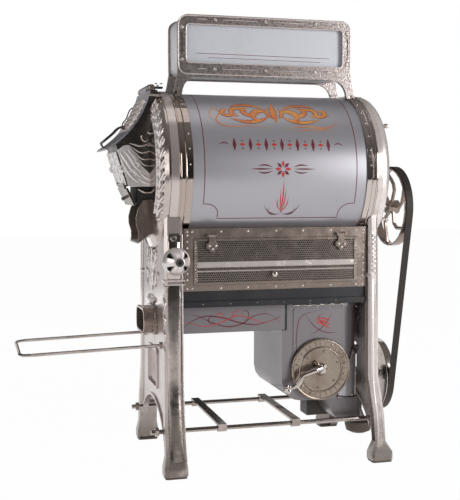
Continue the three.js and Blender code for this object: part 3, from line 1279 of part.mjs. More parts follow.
// Loop of round bar that held the cooling pan, bolted through the left frame's web
function coolingPanRail() {
  const web = -(ends.left.legOuter - frameForm.webInset);
  const inside = web + frameForm.wall + gap + rail.nutLength * 2;
  const start = web - rail.nutLength * 2;
  const tip = -ends.left.legOuter - rail.length;
  const [y, low, c] = [rail.halfWidth, rail.height - rail.droop, rail.corner];
  const sides = [-1, 1].flatMap((side) => {
    const near = [start, side * y, rail.height];
    const turnStart = [tip + c, side * y, THREE.MathUtils.lerp(low, rail.height, c / (start - tip))];
    const corner = [tip, side * y, low];
    return [
      bar('x', rail.radius, inside, start, side * y, rail.height, 6), strut(near, turnStart, rail.radius),
      bend(turnStart, corner, [tip, side * (y - c), low], rail.radius),
      bar('x', rail.nutRadius, web - gap, web - gap - rail.nutLength, side * y, rail.height, 6),
      bar('x', rail.nutRadius, web + frameForm.wall + gap, web + frameForm.wall + gap + rail.nutLength,
      side * y,
        rail.height, 6),
    ];
  });
  return union(sides, bar('y', rail.radius, -y + c, y - c, tip, low, 6));
}

// Sign over the drum: two cast frames on splayed legs, a sheet casing between them and two plain panels
const signForm = {
  windowInset: 27, windowRise: 43, windowDrop: 30, outerCorner: 37, windowCorner: 17, thick: 14, legArch: 57,
  archInset: 72, footInset: 6, footReach: 22, footDrop: 74, flareReach: 9, flareDrop: 44, shoulderRise: 16,
  casingWall: 3, casingInset: 5, panelThick: 3,
};

function signFrame(toFront) {
  const f = signForm;
  const [half, top] = [sign.halfLength, sign.top];
  const [footInner, footOuter, footLow] = [half - f.footInset, half + f.footReach, sign.bottom - f.footDrop];
  const [flareX, flareHeight] = [half + f.flareReach, sign.bottom - f.flareDrop];
  const archCentre = half - f.archInset;
  const windowHalf = half - f.windowInset;
  const shoulder = sign.bottom + f.shoulderRise;
  const shape = new THREE.Shape();
  shape.moveTo(-footOuter, footLow);
  shape.lineTo(-footInner, footLow);
  shape.lineTo(-archCentre - f.legArch, sign.bottom - f.legArch);
  shape.absarc(-archCentre, sign.bottom - f.legArch, f.legArch, Math.PI, quarter, true);
  shape.lineTo(archCentre, sign.bottom);
  shape.absarc(archCentre, sign.bottom - f.legArch, f.legArch, quarter, 0, true);
  shape.lineTo(footInner, footLow);
  shape.lineTo(footOuter, footLow);
  shape.quadraticCurveTo(flareX, flareHeight, half, shoulder);
  shape.lineTo(half, top - f.outerCorner);
  shape.absarc(half - f.outerCorner, top - f.outerCorner, f.outerCorner, 0, quarter);
  shape.lineTo(-half + f.outerCorner, top);
  shape.absarc(-half + f.outerCorner, top - f.outerCorner, f.outerCorner, quarter, Math.PI);
  shape.lineTo(-half, shoulder);
  shape.quadraticCurveTo(-flareX, flareHeight, -footOuter, footLow);
  shape.holes.push(roundedRectangle(-windowHalf, windowHalf, sign.bottom + f.windowRise, top - f.windowDrop,
    f.windowCorner, new THREE.Path()));
  const faces = [toFront * (sign.halfDepth - f.thick), toFront * sign.halfDepth];
  const casting = slab('y', shape, ...faces, { curve: 3 });
  const sheetSeat = arcBand(shell.radius + 2 * gap, band.inner, -shell.halfLength - gap,
    shell.halfLength + gap);
  const seats = [mirrored(bandSeat(ends.left)), sheetSeat, bandSeat(ends.right)];
  return cut(casting, seats);
}

function signRing(inset, path) {
  const half = sign.halfLength - signForm.casingInset - inset;
  return roundedRectangle(-half, half, sign.bottom + signForm.casingInset + inset,
    sign.top - signForm.casingInset - inset, signForm.outerCorner - signForm.casingInset - inset, path);
}

function signCasing() {
  const reach = sign.halfDepth - signForm.thick - gap;
  const ring = signRing(0);
  ring.holes.push(signRing(signForm.casingWall, new THREE.Path()));
  return slab('y', ring, -reach, reach, { curve: 2 });
}

function signPanel(toFront) {
  const outer = toFront * (sign.halfDepth - signForm.thick - gap);
  return slab('y', signRing(signForm.casingWall + gap), outer, outer - toFront * signForm.panelThick,
    { curve: 2 });
}

// Hopper on the left casting: a hollow chute under a curved lid, with the discharge below it
const hopperForm = {
  rootReach: 13, halfWidth: 110, wall: 6, hingeReach: 19, hingeRise: 9, pinRadius: 5, barrel: 10,
  earInner: 60,
  earOuter: 85, leafBack: 23, leafThick: 6, shoulderDrop: 11, lidThick: 6, lidOverhang: 3, headRadius: 8,
  headLength: 6, bossOut: 51, bossDrop: 145, bossRadius: 17, bossReach: 5, plateSteps: [1, 4], plateHalf: 84,
  plateThick: 3, handleShare: 0.9, handleReach: 34, handleHalf: 62, handleRadius: 4,
};
const hopperRoot = ends.left.ringEnd + hopperForm.rootReach;
const hopperHinge = drumAxisHeight + band.outer + hopperForm.hingeRise;
const hopper = {
  ...hopperForm, right: hopperRoot, hingeX: hopperRoot + hopperForm.hingeReach, hingeHeight: hopperHinge,
  leafEnd: hopperRoot - hopperForm.leafBack, shoulder: hopperHinge - hopperForm.shoulderDrop,
  bossX: hopperRoot + hopperForm.bossOut, bossHeight: hopperHinge - hopperForm.bossDrop,
};
// Reach from the hopper's back and drop below its hinge: the lid's underside as a bowed line from the
// hinge to
// its tip, the chute below it, the gate's two ends and the front edge of the spout's cheeks
const hopperLines = {
  lid: [[24, 15], [55, 143], [171, 211]], chute: [[127, 240], [117, 291], [107, 311]],
  gate: [[103, 323], [71, 389]],
  spout: [[46, 375], [62, 403], [70, 433], [69, 458], [61, 483], [61, 505], [64, 521]],
};
const hopperPoint = ([reach, drop]) => [-hopperRoot - reach, hopperHinge - drop];
const lidCurve = new THREE.QuadraticBezierCurve(
  ...hopperLines.lid.map((point) => new THREE.Vector2(...hopperPoint(point))));
const lidSteps = 7;
const chuteReachShare = 0.86;
const chuteLine = hopperLines.chute.map(hopperPoint);

// Discharge gate under the chute, and the spout that it closes
const [gateHinge, gateEnd] = hopperLines.gate.map(hopperPoint);
const gate = {
  hingeX: -gateHinge[0], hingeHeight: gateHinge[1], endX: -gateEnd[0], endHeight: gateEnd[1], thick: 8,
  halfWidth: 90, barrel: 8, pinRadius: 4, earInner: 60, earOuter: 74, lip: 4, gripShare: 0.6, gripReach: 16,
  gripRadius: 6,
};
const spoutForm = { halfWidth: 80, wall: 5, mouthReach: 71, floorDrop: 474, topRise: 6 };
const spout = {
  ...spoutForm, back: hopperRoot, mouth: hopperRoot + spoutForm.mouthReach,
  floorHeight: hopperHinge - spoutForm.floorDrop,
};
const spoutEdge = hopperLines.spout.map(hopperPoint);

function lidLine(from, to, offset, steps = lidSteps) {
  const points = [];
  for (let i = 0; i <= steps; i += 1) {
    const t = from + (to - from) * i / steps;
    const [at, along] = [lidCurve.getPoint(t), lidCurve.getTangent(t)];
    points.push([at.x + along.y * offset, at.y - along.x * offset]);
  }
  return points;
}

// The left casting's outside, widened by a clearance, for cutting what is seated on it
function domeSeat(reach) {
  const end = ends.left;
  const base = end.ringEnd + gap;
  const outline = domeShares.map(([r, h]) => [r > 0 ? r * dome.rim + reach : 0,
    base + h * end.domeDepth + reach]);
  return mirrored(turned('x', [[0, end.bandEnd], [dome.rim + reach, end.bandEnd], ...outline], 0,
    drumAxisHeight,
    domeFacets));
}

function hopperBody() {
  const h = hopper;
  const rim = lidLine(0, chuteReachShare, -3 * gap);
  const outline = [[-h.right, chuteLine.at(-1)[1]], [-h.right, h.shoulder], [-h.hingeX, h.shoulder],
    ...rim, ...chuteLine];
  const innerRim = lidLine(0, chuteReachShare, h.lidThick);
  const inner = [[-h.right + h.wall, chuteLine.at(-1)[1] + h.wall], [-h.right + h.wall, h.shoulder - h.wall],
    [-h.hingeX + h.wall, h.shoulder - h.wall], ...innerRim.map(([x, z]) => [x + h.wall, z]),
    ...chuteLine.map(([x, z]) => [x + h.wall, z + h.wall])];
  const chute = cut(slab('y', polygon(outline), -h.halfWidth, h.halfWidth),
    slab('y', polygon(inner), -h.halfWidth + h.wall, h.halfWidth - h.wall));
  const hinge = [-1, 1].flatMap((side) => {
    const [inside, outside] = [side * h.earInner, side * h.earOuter];
    return [
      bar('y', h.barrel, inside, outside, -h.hingeX, h.hingeHeight, 10),
      box(-h.hingeX, -h.leafEnd, inside, outside, h.hingeHeight - h.leafThick / 2,
      h.hingeHeight + h.leafThick / 2),
      box(-h.hingeX, -h.right - h.wall / 2, inside, outside, h.shoulder - h.wall, h.hingeHeight),
      bar('y', h.headRadius, outside - side * overrun / 2, outside + side * h.headLength, -h.hingeX,
        h.hingeHeight, 8),
    ];
  });
  const pin = bar('y', h.pinRadius, -h.earInner - overrun, h.earInner + overrun, -h.hingeX, h.hingeHeight, 8);
  const gateEars = [-1, 1].map((side) => union(
    bar('y', gate.barrel, side * gate.earInner, side * gate.earOuter, -gate.hingeX, gate.hingeHeight, 8),
    box(-gate.hingeX - gate.barrel, -gate.hingeX + gate.barrel, side * gate.earInner, side * gate.earOuter,
      gate.hingeHeight, chuteLine.at(-1)[1] + h.wall / 2)));
  const gatePin = bar('y', gate.pinRadius, -gate.earInner - overrun, gate.earInner + overrun, -gate.hingeX,
    gate.hingeHeight, 8);
  const boss = bar('y', h.bossRadius, -h.halfWidth - h.bossReach, -h.halfWidth + h.wall / 2, -h.bossX,
    h.bossHeight, 12);
  return union(cut(union(chute, boss), domeSeat(gap)), hinge, pin, gateEars, gatePin);
}

function hopperLid() {
  const h = hopper;
  const width = h.halfWidth + h.lidOverhang;
  const reach = h.earInner - gap;
  const plate = slab('y', polygon([...lidLine(0, 1, 0), ...lidLine(0, 1, h.lidThick).reverse()]), -width,
    width);
  const barrel = bar('y', h.barrel, -reach, reach, -h.hingeX, h.hingeHeight, 12);
  const start = lidCurve.getPoint(0);
  const link = box(start.x - h.lidThick, start.x - gap, -reach, reach, start.y - overrun, h.hingeHeight);
  return cut(union(plate, barrel, link), bar('y', h.pinRadius + gap, -width, width, -h.hingeX,
    h.hingeHeight, 12));
}

function lidPlate() {
  const h = hopper;
  const [first, last] = h.plateSteps;
  const line = (offset) => lidLine(first / lidSteps, last / lidSteps, offset, last - first);
  return slab('y', polygon([...line(h.lidThick + gap), ...line(h.lidThick + gap + h.plateThick).reverse()]),
    -h.plateHalf, h.plateHalf);
}

// Wire handle standing off the lid's lower edge, on two round feet
function lidHandle() {
  const h = hopper;
  const [low, high] = [h.lidThick / 2, h.handleReach].map((offset) => lidLine(h.handleShare, 1, offset,
    1)[0]);
  const place = ([x, z], side, inset) => [x, side * (h.handleHalf - inset), z];
  const corner = h.handleRadius * 3;
  const knee = [THREE.MathUtils.lerp(high[0], low[0], corner / h.handleReach),
    THREE.MathUtils.lerp(high[1], low[1], corner / h.handleReach)];
  const sides = [-1, 1].flatMap((side) => [
    strut(place(low, side, 0), place(knee, side, 0), h.handleRadius),
    bend(place(knee, side, 0), place(high, side, 0), place(high, side, corner), h.handleRadius),
  ]);
  const grip = bar('y', h.handleRadius, corner - h.handleHalf, h.handleHalf - corner, high[0], high[1], 6);
  const lidWay = slab('y', polygon([...lidLine(0, 1, -h.lidThick),
    ...lidLine(0, 1, h.lidThick + gap).reverse()]),
    -h.halfWidth, h.halfWidth);
  return cut(union(sides, grip), lidWay);
}

function dischargeGate() {
  const g = gate;
  const [dx, dz] = [g.hingeX - g.endX, g.hingeHeight - g.endHeight];
  const length = Math.hypot(dx, dz);
  const [ux, uz] = [dx / length, -dz / length];
  const at = (along, out) => [-g.hingeX + ux * along + uz * out, g.hingeHeight + uz * along - ux * out];
  const plate = slab('y', polygon([at(g.barrel + g.lip, 0), at(length, 0), at(length, g.thick),
    at(g.barrel + g.lip, g.thick)]), -g.halfWidth, g.halfWidth);
  const reach = g.earInner - gap;
  const [neckFrom, neckTo] = [g.pinRadius + 2 * gap, g.barrel + g.lip + overrun];
  const neck = slab('y', polygon([at(neckFrom, 0), at(neckTo, 0), at(neckTo, g.thick),
    at(neckFrom, g.thick)]),
    -reach, reach);
  const barrel = bar('y', g.barrel, -reach, reach, -g.hingeX, g.hingeHeight, 10);
  const grip = at(length * g.gripShare, g.thick / 2);
  const stem = at(length * g.gripShare, g.thick + g.gripReach);
  const knob = strut([grip[0], 0, grip[1]], [stem[0], 0, stem[1]], g.gripRadius, 8);
  return cut(union(plate, neck, barrel, knob), bar('y', g.pinRadius + gap, -g.halfWidth, g.halfWidth,
    -g.hingeX,
    g.hingeHeight, 10));
}

function dischargeSpout() {
  const p = spout;
  const outline = [[-p.back, spoutEdge[0][1] + p.topRise], ...spoutEdge, [-p.back, p.floorHeight]];
  const inside = [[-p.back + overrun, spoutEdge[0][1] + p.topRise + overrun],
    [-p.mouth - p.wall, spoutEdge[0][1] + p.topRise + overrun],
    [-p.mouth - p.wall, spoutEdge.at(-1)[1] + p.wall], [spoutEdge.at(-1)[0], spoutEdge.at(-1)[1] + p.wall],
    [-p.back, p.floorHeight + p.wall], [-p.back + overrun, p.floorHeight + p.wall]];
  return cut(cut(slab('y', polygon(outline), -p.halfWidth, p.halfWidth),
    slab('y', polygon(inside), -p.halfWidth + p.wall, p.halfWidth - p.wall)), domeSeat(gap));
}

// Every piece, named
piece('leg_frame_left', mirrored(legFrame(ends.left)), 'nickel');
piece('leg_frame_right', legFrame(ends.right), 'nickel');
for (const [place, toFront] of [['front', -1], ['back', 1]]) {
  piece(`foot_pad_${place}_left`, mirrored(footSole(ends.left, toFront)), 'rubber');
  piece(`foot_pad_${place}_right`, footSole(ends.right, toFront), 'rubber');
  piece(`tie_rod_${place}`, tieRod(toFront * tie.y), 'nickel');
  piece(`sign_frame_${place}`, signFrame(toFront), 'nickel');
  piece(`sign_panel_${place}`, signPanel(toFront), 'signPanel');
}
piece('sign_casing', signCasing(), 'silverPaint');
piece('cross_bar_left', crossBarAt(crossBar.places[0]), 'nickel');
piece('cross_bar_right', crossBarAt(crossBar.places[1]), 'nickel');
piece('drum_shell', drumShell(), 'silverPaint');
piece('shell_band_left', mirrored(shellBand(ends.left)), 'nickel');
piece('shell_band_right', shellBand(ends.right), 'nickel');
piece('end_bell_left', endBellLeft(), 'nickel');
piece('end_bell_right', endBellRight(), 'nickel');
piece('head_plate_right', headPlateRight(), 'castIron');
piece('roasting_cylinder', roastingCylinder(), 'steel');
piece('drum_shaft', drumShaft(), 'steel');
piece('drum_gear', drumGear(), 'castIron');
piece('counter_shaft', counterShaft(), 'steel');
piece('drive_pinion', drivePinion(), 'castIron');
piece('drive_pulley', drivePulley(), 'nickel');
piece('drive_belt', driveBelt(), 'belt');
piece('fan_pulley', fanPulley(), 'nickel');
piece('fan_shaft', fanShaft(), 'steel');
piece('fan_wheel', fanWheel(), 'castIron');
piece('shaft_pedestal', shaftPedestal(), 'nickel');
piece('front_panel', frontPanel(), 'nickel');
piece('fire_door', fireDoor(), 'nickel');
piece('door_strap_left', doorStrap(-1), 'nickel');
piece('door_strap_right', doorStrap(1), 'nickel');
piece('door_knob', doorKnob(), 'nickel');
piece('back_panel', backPanel(), 'darkSheet');
piece('ash_pan', ashPan(), 'darkSheet');
piece('suction_duct', suctionDuct(), 'silverPaint');
piece('duct_gasket', ductGasket(), 'rubber');
piece('duct_spout', ductSpout(), 'nickel');
piece('fan_housing', fanHousing(), 'silverPaint');
piece('damper_cover', damperCover(), 'brassedNickel');
piece('damper_plate', damperPlate(), 'steel');
piece('damper_lever', damperLever(), 'nickel');
piece('chaff_bin', chaffBin(), 'nickel');
piece('bin_latch', binLatch(), 'nickel');
piece('burner_pipe', burnerPipe(), 'castIron');
piece('air_shutter', airShutter(), 'nickel');
piece('pilot_elbow', pilotElbow(), 'nickel');
piece('cooling_pan_rail', coolingPanRail(), 'nickel');
piece('hopper_body', hopperBody(), 'nickel');
piece('hopper_lid', hopperLid(), 'silverPaint');
piece('lid_plate', lidPlate(), 'nickel');
piece('lid_handle', lidHandle(), 'nickel');
piece('discharge_gate', dischargeGate(), 'nickel');
piece('discharge_spout', dischargeSpout(), 'nickel');

// Stand the machine over the middle of its own footprint
const bounds = new THREE.Box3().setFromObject(machine);
const middle = bounds.getCenter(new THREE.Vector3());
for (const mesh of machine.children) mesh.geometry.translate(-middle.x, -middle.y, -bounds.min.z);

export default machine;
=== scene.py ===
import json
import math

import bpy
from mathutils import Matrix, Vector

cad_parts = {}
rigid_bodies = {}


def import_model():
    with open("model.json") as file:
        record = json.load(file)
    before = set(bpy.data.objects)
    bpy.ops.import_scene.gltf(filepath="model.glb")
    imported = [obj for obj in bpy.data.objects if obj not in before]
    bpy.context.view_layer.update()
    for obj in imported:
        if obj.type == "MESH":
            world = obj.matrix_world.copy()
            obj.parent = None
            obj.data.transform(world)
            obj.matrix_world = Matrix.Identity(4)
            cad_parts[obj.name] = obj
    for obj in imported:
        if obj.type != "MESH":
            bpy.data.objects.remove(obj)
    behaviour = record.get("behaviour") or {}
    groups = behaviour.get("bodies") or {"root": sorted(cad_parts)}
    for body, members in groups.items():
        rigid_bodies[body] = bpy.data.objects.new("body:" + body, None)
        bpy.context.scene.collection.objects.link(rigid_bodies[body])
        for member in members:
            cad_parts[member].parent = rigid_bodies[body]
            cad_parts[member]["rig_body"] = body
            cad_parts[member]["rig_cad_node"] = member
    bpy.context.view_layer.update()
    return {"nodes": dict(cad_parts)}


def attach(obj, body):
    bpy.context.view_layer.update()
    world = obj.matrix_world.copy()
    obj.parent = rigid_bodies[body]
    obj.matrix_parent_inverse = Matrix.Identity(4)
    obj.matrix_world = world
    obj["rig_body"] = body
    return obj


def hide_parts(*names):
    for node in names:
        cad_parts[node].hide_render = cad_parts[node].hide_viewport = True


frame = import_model()
nodes = frame["nodes"]
bodyOfNode = {name: obj["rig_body"] for name, obj in nodes.items()}
bpy.ops.object.select_all(action="DESELECT")
print("frame loaded:", len(nodes), "nodes")

# the source counts in millimetres from the drum's middle, the frame from the middle of its box
shelf = {"shiftX": 153.7486, "shiftY": 4, "mm": 0.001}
mm = shelf["mm"]


def at(x, y, z):
    return Vector(((x + shelf["shiftX"]) * mm, (y + shelf["shiftY"]) * mm, z * mm))


# camera, fitted to the photograph's straight edges and round bands
view = {"place": (-996.7, -3259.2, 952.4), "yaw": -15.41, "pitch": -3.94, "focal": 959.8, "longSide": 500,
        "off": 2.4, "sensor": 36, "farthest": 60}
bpy.ops.object.camera_add(location=at(*view["place"]))
camera = bpy.context.object
camera.name = "photo_camera"
camera.rotation_euler = (math.radians(90 + view["pitch"]), 0, math.radians(view["yaw"]))
camera.data.sensor_width = view["sensor"]
camera.data.lens = view["focal"] * view["sensor"] / view["longSide"]
camera.data.shift_x = -view["off"] / view["longSide"]
camera.data.clip_end = view["farthest"]
bpy.context.scene.camera = camera
bpy.context.scene.view_settings.view_transform = "Standard"
print("camera placed")


# gives a socket a plain value or another node's output
def feed(tree, socket, value):
    if isinstance(value, (int, float)):
        socket.default_value = value
    else:
        tree.links.new(value, socket)


def mathNode(tree, operation, *values, clamp=False):
    node = tree.nodes.new("ShaderNodeMath")
    node.operation, node.use_clamp = operation, clamp
    for socket, value in zip(node.inputs, values):
        feed(tree, socket, value)
    return node.outputs[0]


def noiseNode(tree, vector, scale, detail, roughness=0.55):
    node = tree.nodes.new("ShaderNodeTexNoise")
    for label, value in (("Vector", vector), ("Scale", scale), ("Detail", detail), ("Roughness", roughness)):
        feed(tree, node.inputs[label], value)
    return node.outputs["Fac"]


def spread(tree, value, low, high):
    node = tree.nodes.new("ShaderNodeMapRange")
    node.interpolation_type = "SMOOTHSTEP"
    for label, source in (("Value", value), ("From Min", low), ("From Max", high)):
        feed(tree, node.inputs[label], source)
    return node.outputs["Result"]


def blend(tree, first, second, share):
    shares = [mathNode(tree, "MULTIPLY", first, share), mathNode(tree, "MULTIPLY", second, 1 - share)]
    return mathNode(tree, "ADD", *shares)


# a shader node group with its own inputs and one output; gives the place on the piece as well
def newGroup(name, inputs, output):
    group = bpy.data.node_groups.new(name, "ShaderNodeTree")
    for label, value in inputs.items():
        group.interface.new_socket(name=label, in_out="INPUT", socket_type="NodeSocketFloat").default_value = value
    group.interface.new_socket(name=output, in_out="OUTPUT", socket_type="NodeSocketFloat")
    given = group.nodes.new("NodeGroupInput").outputs
    result = group.nodes.new("NodeGroupOutput").inputs[output]
    return group, given, result, group.nodes.new("ShaderNodeTexCoord").outputs["Object"]


# scale and detail of the noises, and the first one's share where two are mixed
noises = {"patchDetail": 4, "speckle": (55, 3), "patchShare": 0.75, "lumpDetail": 2, "grainDetail": 3,
        "lumpShare": 0.8, "dirtAndShade": (16, 4), "dirtAndShadeSpread": (0.1, 0.52)}

# patches of tarnish or dust: 0 clean, 1 covered
tarnish, given, result, place = newGroup("tarnishPatches", {"Scale": 6, "Start": 0.45, "Full": 0.75}, "Mask")
large = noiseNode(tarnish, place, given["Scale"], noises["patchDetail"])
mixed = blend(tarnish, large, noiseNode(tarnish, place, *noises["speckle"]), noises["patchShare"])
tarnish.links.new(spread(tarnish, mixed, given["Start"], given["Full"]), result)

# the uneven skin of a casting, as a height
castSkin, given, result, place = newGroup("castSkin", {"Lumps": 40, "Grain": 260}, "Height")
lumps = noiseNode(castSkin, place, given["Lumps"], noises["lumpDetail"])
grain = noiseNode(castSkin, place, given["Grain"], noises["grainDetail"])
castSkin.links.new(blend(castSkin, lumps, grain, noises["lumpShare"]), result)

# darker towards the floor: speckled dirt together with painted shade low on the machine; 0 above, 1 at the feet
floorDirtAndShade, given, result, place = newGroup("floorDirtAndShade", {"Reach": 0.3}, "Mask")
split = floorDirtAndShade.nodes.new("ShaderNodeSeparateXYZ")
floorDirtAndShade.links.new(place, split.inputs[0])
height = mathNode(floorDirtAndShade, "DIVIDE", split.outputs["Z"], given["Reach"])
low = mathNode(floorDirtAndShade, "SUBTRACT", 1, height, clamp=True)
speckle = spread(floorDirtAndShade, noiseNode(floorDirtAndShade, place, *noises["dirtAndShade"]), *noises["dirtAndShadeSpread"])
floorDirtAndShade.links.new(mathNode(floorDirtAndShade, "MULTIPLY", low, speckle), result)
print("node groups built")


def groupNode(tree, group, values):
    node = tree.nodes.new("ShaderNodeGroup")
    node.node_tree = group
    for socket, value in zip(node.inputs, values):
        socket.default_value = value
    return node.outputs[0]


def mixColour(tree, mask, first, second):
    node = tree.nodes.new("ShaderNodeMix")
    node.data_type = "RGBA"
    tree.links.new(mask, node.inputs["Factor"])
    for label, colour in (("A", first), ("B", second)):
        socket = [s for s in node.inputs if s.name == label and s.type == "RGBA"][0]
        if isinstance(colour, tuple):
            socket.default_value = (*colour, 1)
        else:
            tree.links.new(colour, socket)
    return [s for s in node.outputs if s.type == "RGBA"][0]


finishes = {
    # colour, aged colour, metallic, roughness from and to, patches (scale, start, full), skin (mm, lumps), coat
    "nickel": ((0.55, 0.485, 0.45), (0.33, 0.27, 0.235), 1, (0.14, 0.36), (7, 0.46, 0.8), (0.25, 28), 0),
    "brightNickel": ((0.6, 0.53, 0.495), (0.4, 0.335, 0.29), 1, (0.08, 0.2), (6, 0.5, 0.85), (0.05, 14), 0),
    "paleNickel": ((0.74, 0.67, 0.64), (0.57, 0.49, 0.45), 0.55, (0.2, 0.4), (18, 0.47, 0.74), (0.25, 45), 0),
    "speckledNickel": ((0.4, 0.355, 0.34), (0.24, 0.2, 0.19), 0.8, (0.22, 0.42), (110, 0.44, 0.6), (0.35, 150), 0),
    "brassedNickel": ((0.33, 0.27, 0.225), (0.19, 0.145, 0.11), 0.9, (0.22, 0.4), (12, 0.42, 0.75), (0.35, 60), 0),
    # painted light: a paler, less metallic copy of pale nickel where the machine should look lit: the right end
    # casting, the right leg's moulding and the air shutter; on the raised relief and the bead beside the left
    # moulding it is a painted highlight
    "litNickel": ((0.82, 0.755, 0.73), (0.62, 0.54, 0.5), 0.55, (0.26, 0.4), (9, 0.47, 0.8), (0.05, 20), 0),
    # painted shade: a darker copy of pale nickel for the left leg frame; the right frame keeps pale nickel
    "shadedLegNickel": ((0.6, 0.525, 0.5), (0.47, 0.395, 0.365), 0.7, (0.2, 0.36), (14, 0.45, 0.8), (0.2, 45), 0),
    # painted light: a much paler, barely metallic nickel for the hopper's leaf plates, which lie in shade
    "litLeafNickel": ((0.95, 0.9, 0.88), (0.8, 0.72, 0.68), 0.3, (0.2, 0.34), (14, 0.47, 0.8), (0.1, 30), 0),
    # painted shade: a darker copy of bright nickel for the left band; the right band keeps bright nickel
    "shadedBandNickel": ((0.44, 0.37, 0.33), (0.33, 0.26, 0.22), 1, (0.08, 0.2), (6, 0.5, 0.85), (0.05, 14), 0),
    "screenNickel": ((0.3, 0.245, 0.215), (0.18, 0.14, 0.12), 0.75, (0.2, 0.38), (20, 0.4, 0.8), (0.05, 40), 0),
    "tanNickel": ((0.34, 0.275, 0.24), (0.27, 0.21, 0.18), 0.75, (0.2, 0.38), (26, 0.36, 0.85), (0.12, 40), 0),
    "darkNickel": ((0.2, 0.18, 0.165), (0.09, 0.078, 0.07), 1, (0.25, 0.45), (14, 0.42, 0.75), (0.5, 60), 0),
    "silverPaint": ((0.41, 0.4, 0.43), (0.34, 0.32, 0.335), 0.65, (0.36, 0.46), (2.5, 0.5, 0.9), (0.05, 14), 0.15),
    # painted shade: a darker copy of the silver paint for the low duct, blower casing and chaff bin
    "shadedSilverPaint": ((0.22, 0.2, 0.21), (0.15, 0.135, 0.135), 0.5, (0.34, 0.46), (3, 0.45, 0.85), (0.05, 14), 0.15),
    "paleSheet": ((0.86, 0.845, 0.87), (0.74, 0.71, 0.73), 0.1, (0.3, 0.45), (4, 0.5, 0.9), (0.05, 18), 0.1),
    "darkSheet": ((0.03, 0.03, 0.034), (0.065, 0.055, 0.05), 0.5, (0.35, 0.55), (5, 0.45, 0.8), (0.15, 20), 0),
    "castIron": ((0.055, 0.054, 0.056), (0.09, 0.065, 0.05), 0.7, (0.45, 0.65), (9, 0.45, 0.8), (0.8, 70), 0),
    "steel": ((0.42, 0.41, 0.4), (0.2, 0.17, 0.15), 1, (0.25, 0.45), (8, 0.45, 0.8), (0.1, 30), 0),
    "signPaint": ((0.6, 0.61, 0.655), (0.47, 0.48, 0.515), 0, (0.3, 0.4), (3, 0.46, 0.8), (0.03, 12), 0.3),
    "belt": ((0.016, 0.011, 0.009), (0.035, 0.025, 0.02), 0, (0.6, 0.8), (18, 0.45, 0.8), (0.5, 160), 0),
    "rubber": ((0.014, 0.014, 0.015), (0.045, 0.043, 0.04), 0, (0.55, 0.8), (14, 0.5, 0.8), (0.3, 90), 0),
    "wineLine": ((0.13, 0.012, 0.026), (0.19, 0.03, 0.045), 0, (0.35, 0.45), (20, 0.5, 0.8), (0, 20), 0.2),
    "redLine": ((0.48, 0.03, 0.028), (0.55, 0.1, 0.08), 0, (0.35, 0.45), (20, 0.5, 0.8), (0, 20), 0.2),
    "orangeLeaf": ((0.58, 0.15, 0.022), (0.68, 0.3, 0.06), 0.1, (0.35, 0.45), (14, 0.4, 0.6), (0, 20), 0.2),
}
# dirt and painted shade near the floor: colour, reach and share; then the coat's roughness and the grain of the cast
# skin
wearAndShade = {"dirtAndShade": (0.11, 0.085, 0.065), "dirtAndShadeReach": 0.22, "dirtAndShadeShare": 0.85, "coatRoughness": 0.12, "grain": 6}
materials = {}
for finish, (colour, aged, metallic, (smoothest, roughest), spots, (depth, lumps), coat) in finishes.items():
    material = bpy.data.materials.new(finish)
    material.use_nodes = True
    tree = material.node_tree
    shader = tree.nodes["Principled BSDF"].inputs
    patches = groupNode(tree, tarnish, spots)
    worn = mixColour(tree, patches, colour, aged)
    # darkens every finish towards the floor: dirt, and painted shade on the lower parts
    dirtAndShade = mathNode(tree, "MULTIPLY", groupNode(tree, floorDirtAndShade, [wearAndShade["dirtAndShadeReach"]]), wearAndShade["dirtAndShadeShare"])
    tree.links.new(mixColour(tree, dirtAndShade, worn, wearAndShade["dirtAndShade"]), shader["Base Color"])
    tree.links.new(mathNode(tree, "MULTIPLY_ADD", patches, roughest - smoothest, smoothest), shader["Roughness"])
    for label, value in (("Metallic", metallic), ("Coat Weight", coat), ("Coat Roughness", wearAndShade["coatRoughness"])):
        shader[label].default_value = value
    if depth:
        bump = tree.nodes.new("ShaderNodeBump")
        bump.inputs["Distance"].default_value, bump.inputs["Strength"].default_value = depth * mm, 1
        skin = groupNode(tree, castSkin, (lumps, lumps * wearAndShade["grain"]))
        tree.links.new(skin, bump.inputs["Height"])
        tree.links.new(bump.outputs["Normal"], shader["Normal"])
    materials[finish] = material
print("materials made:", len(materials))


# modelling helpers
def onlyThis(obj):
    bpy.ops.object.select_all(action="DESELECT")
    obj.select_set(True)
    bpy.context.view_layer.objects.active = obj


# one of Blender's own forms under a name
def newForm(add, name, **values):
    bpy.ops.object.select_all(action="DESELECT")
    add(location=(0, 0, 0), **values)
    bpy.context.object.name = name
    return bpy.context.object


def openMesh():
    bpy.ops.object.mode_set(mode="EDIT")
    bpy.ops.mesh.select_all(action="SELECT")


def closeMesh():
    bpy.ops.object.mode_set(mode="OBJECT")


# how near two corners count as one, in metres
weld = {"strand": 0.000001, "solid": 0.000005, "paint": 0.00001, "eased": 0.00002, "screen": 0.00005}


def cleanSkin(near=weld["solid"]):
    bpy.ops.mesh.select_all(action="SELECT")
    bpy.ops.mesh.remove_doubles(threshold=near)
    bpy.ops.mesh.dissolve_degenerate(threshold=near)
    bpy.ops.mesh.select_all(action="SELECT")
    bpy.ops.mesh.normals_make_consistent(inside=False)


def repaint(obj, finish):
    obj.data.materials.clear()
    obj.data.materials.append(materials[finish])


def applyAll(obj):
    onlyThis(obj)
    for modifier in list(obj.modifiers):
        bpy.ops.object.modifier_apply(modifier=modifier.name)


def smooth(obj, angle):
    onlyThis(obj)
    bpy.ops.object.shade_smooth_by_angle(angle=math.radians(angle))
    return obj


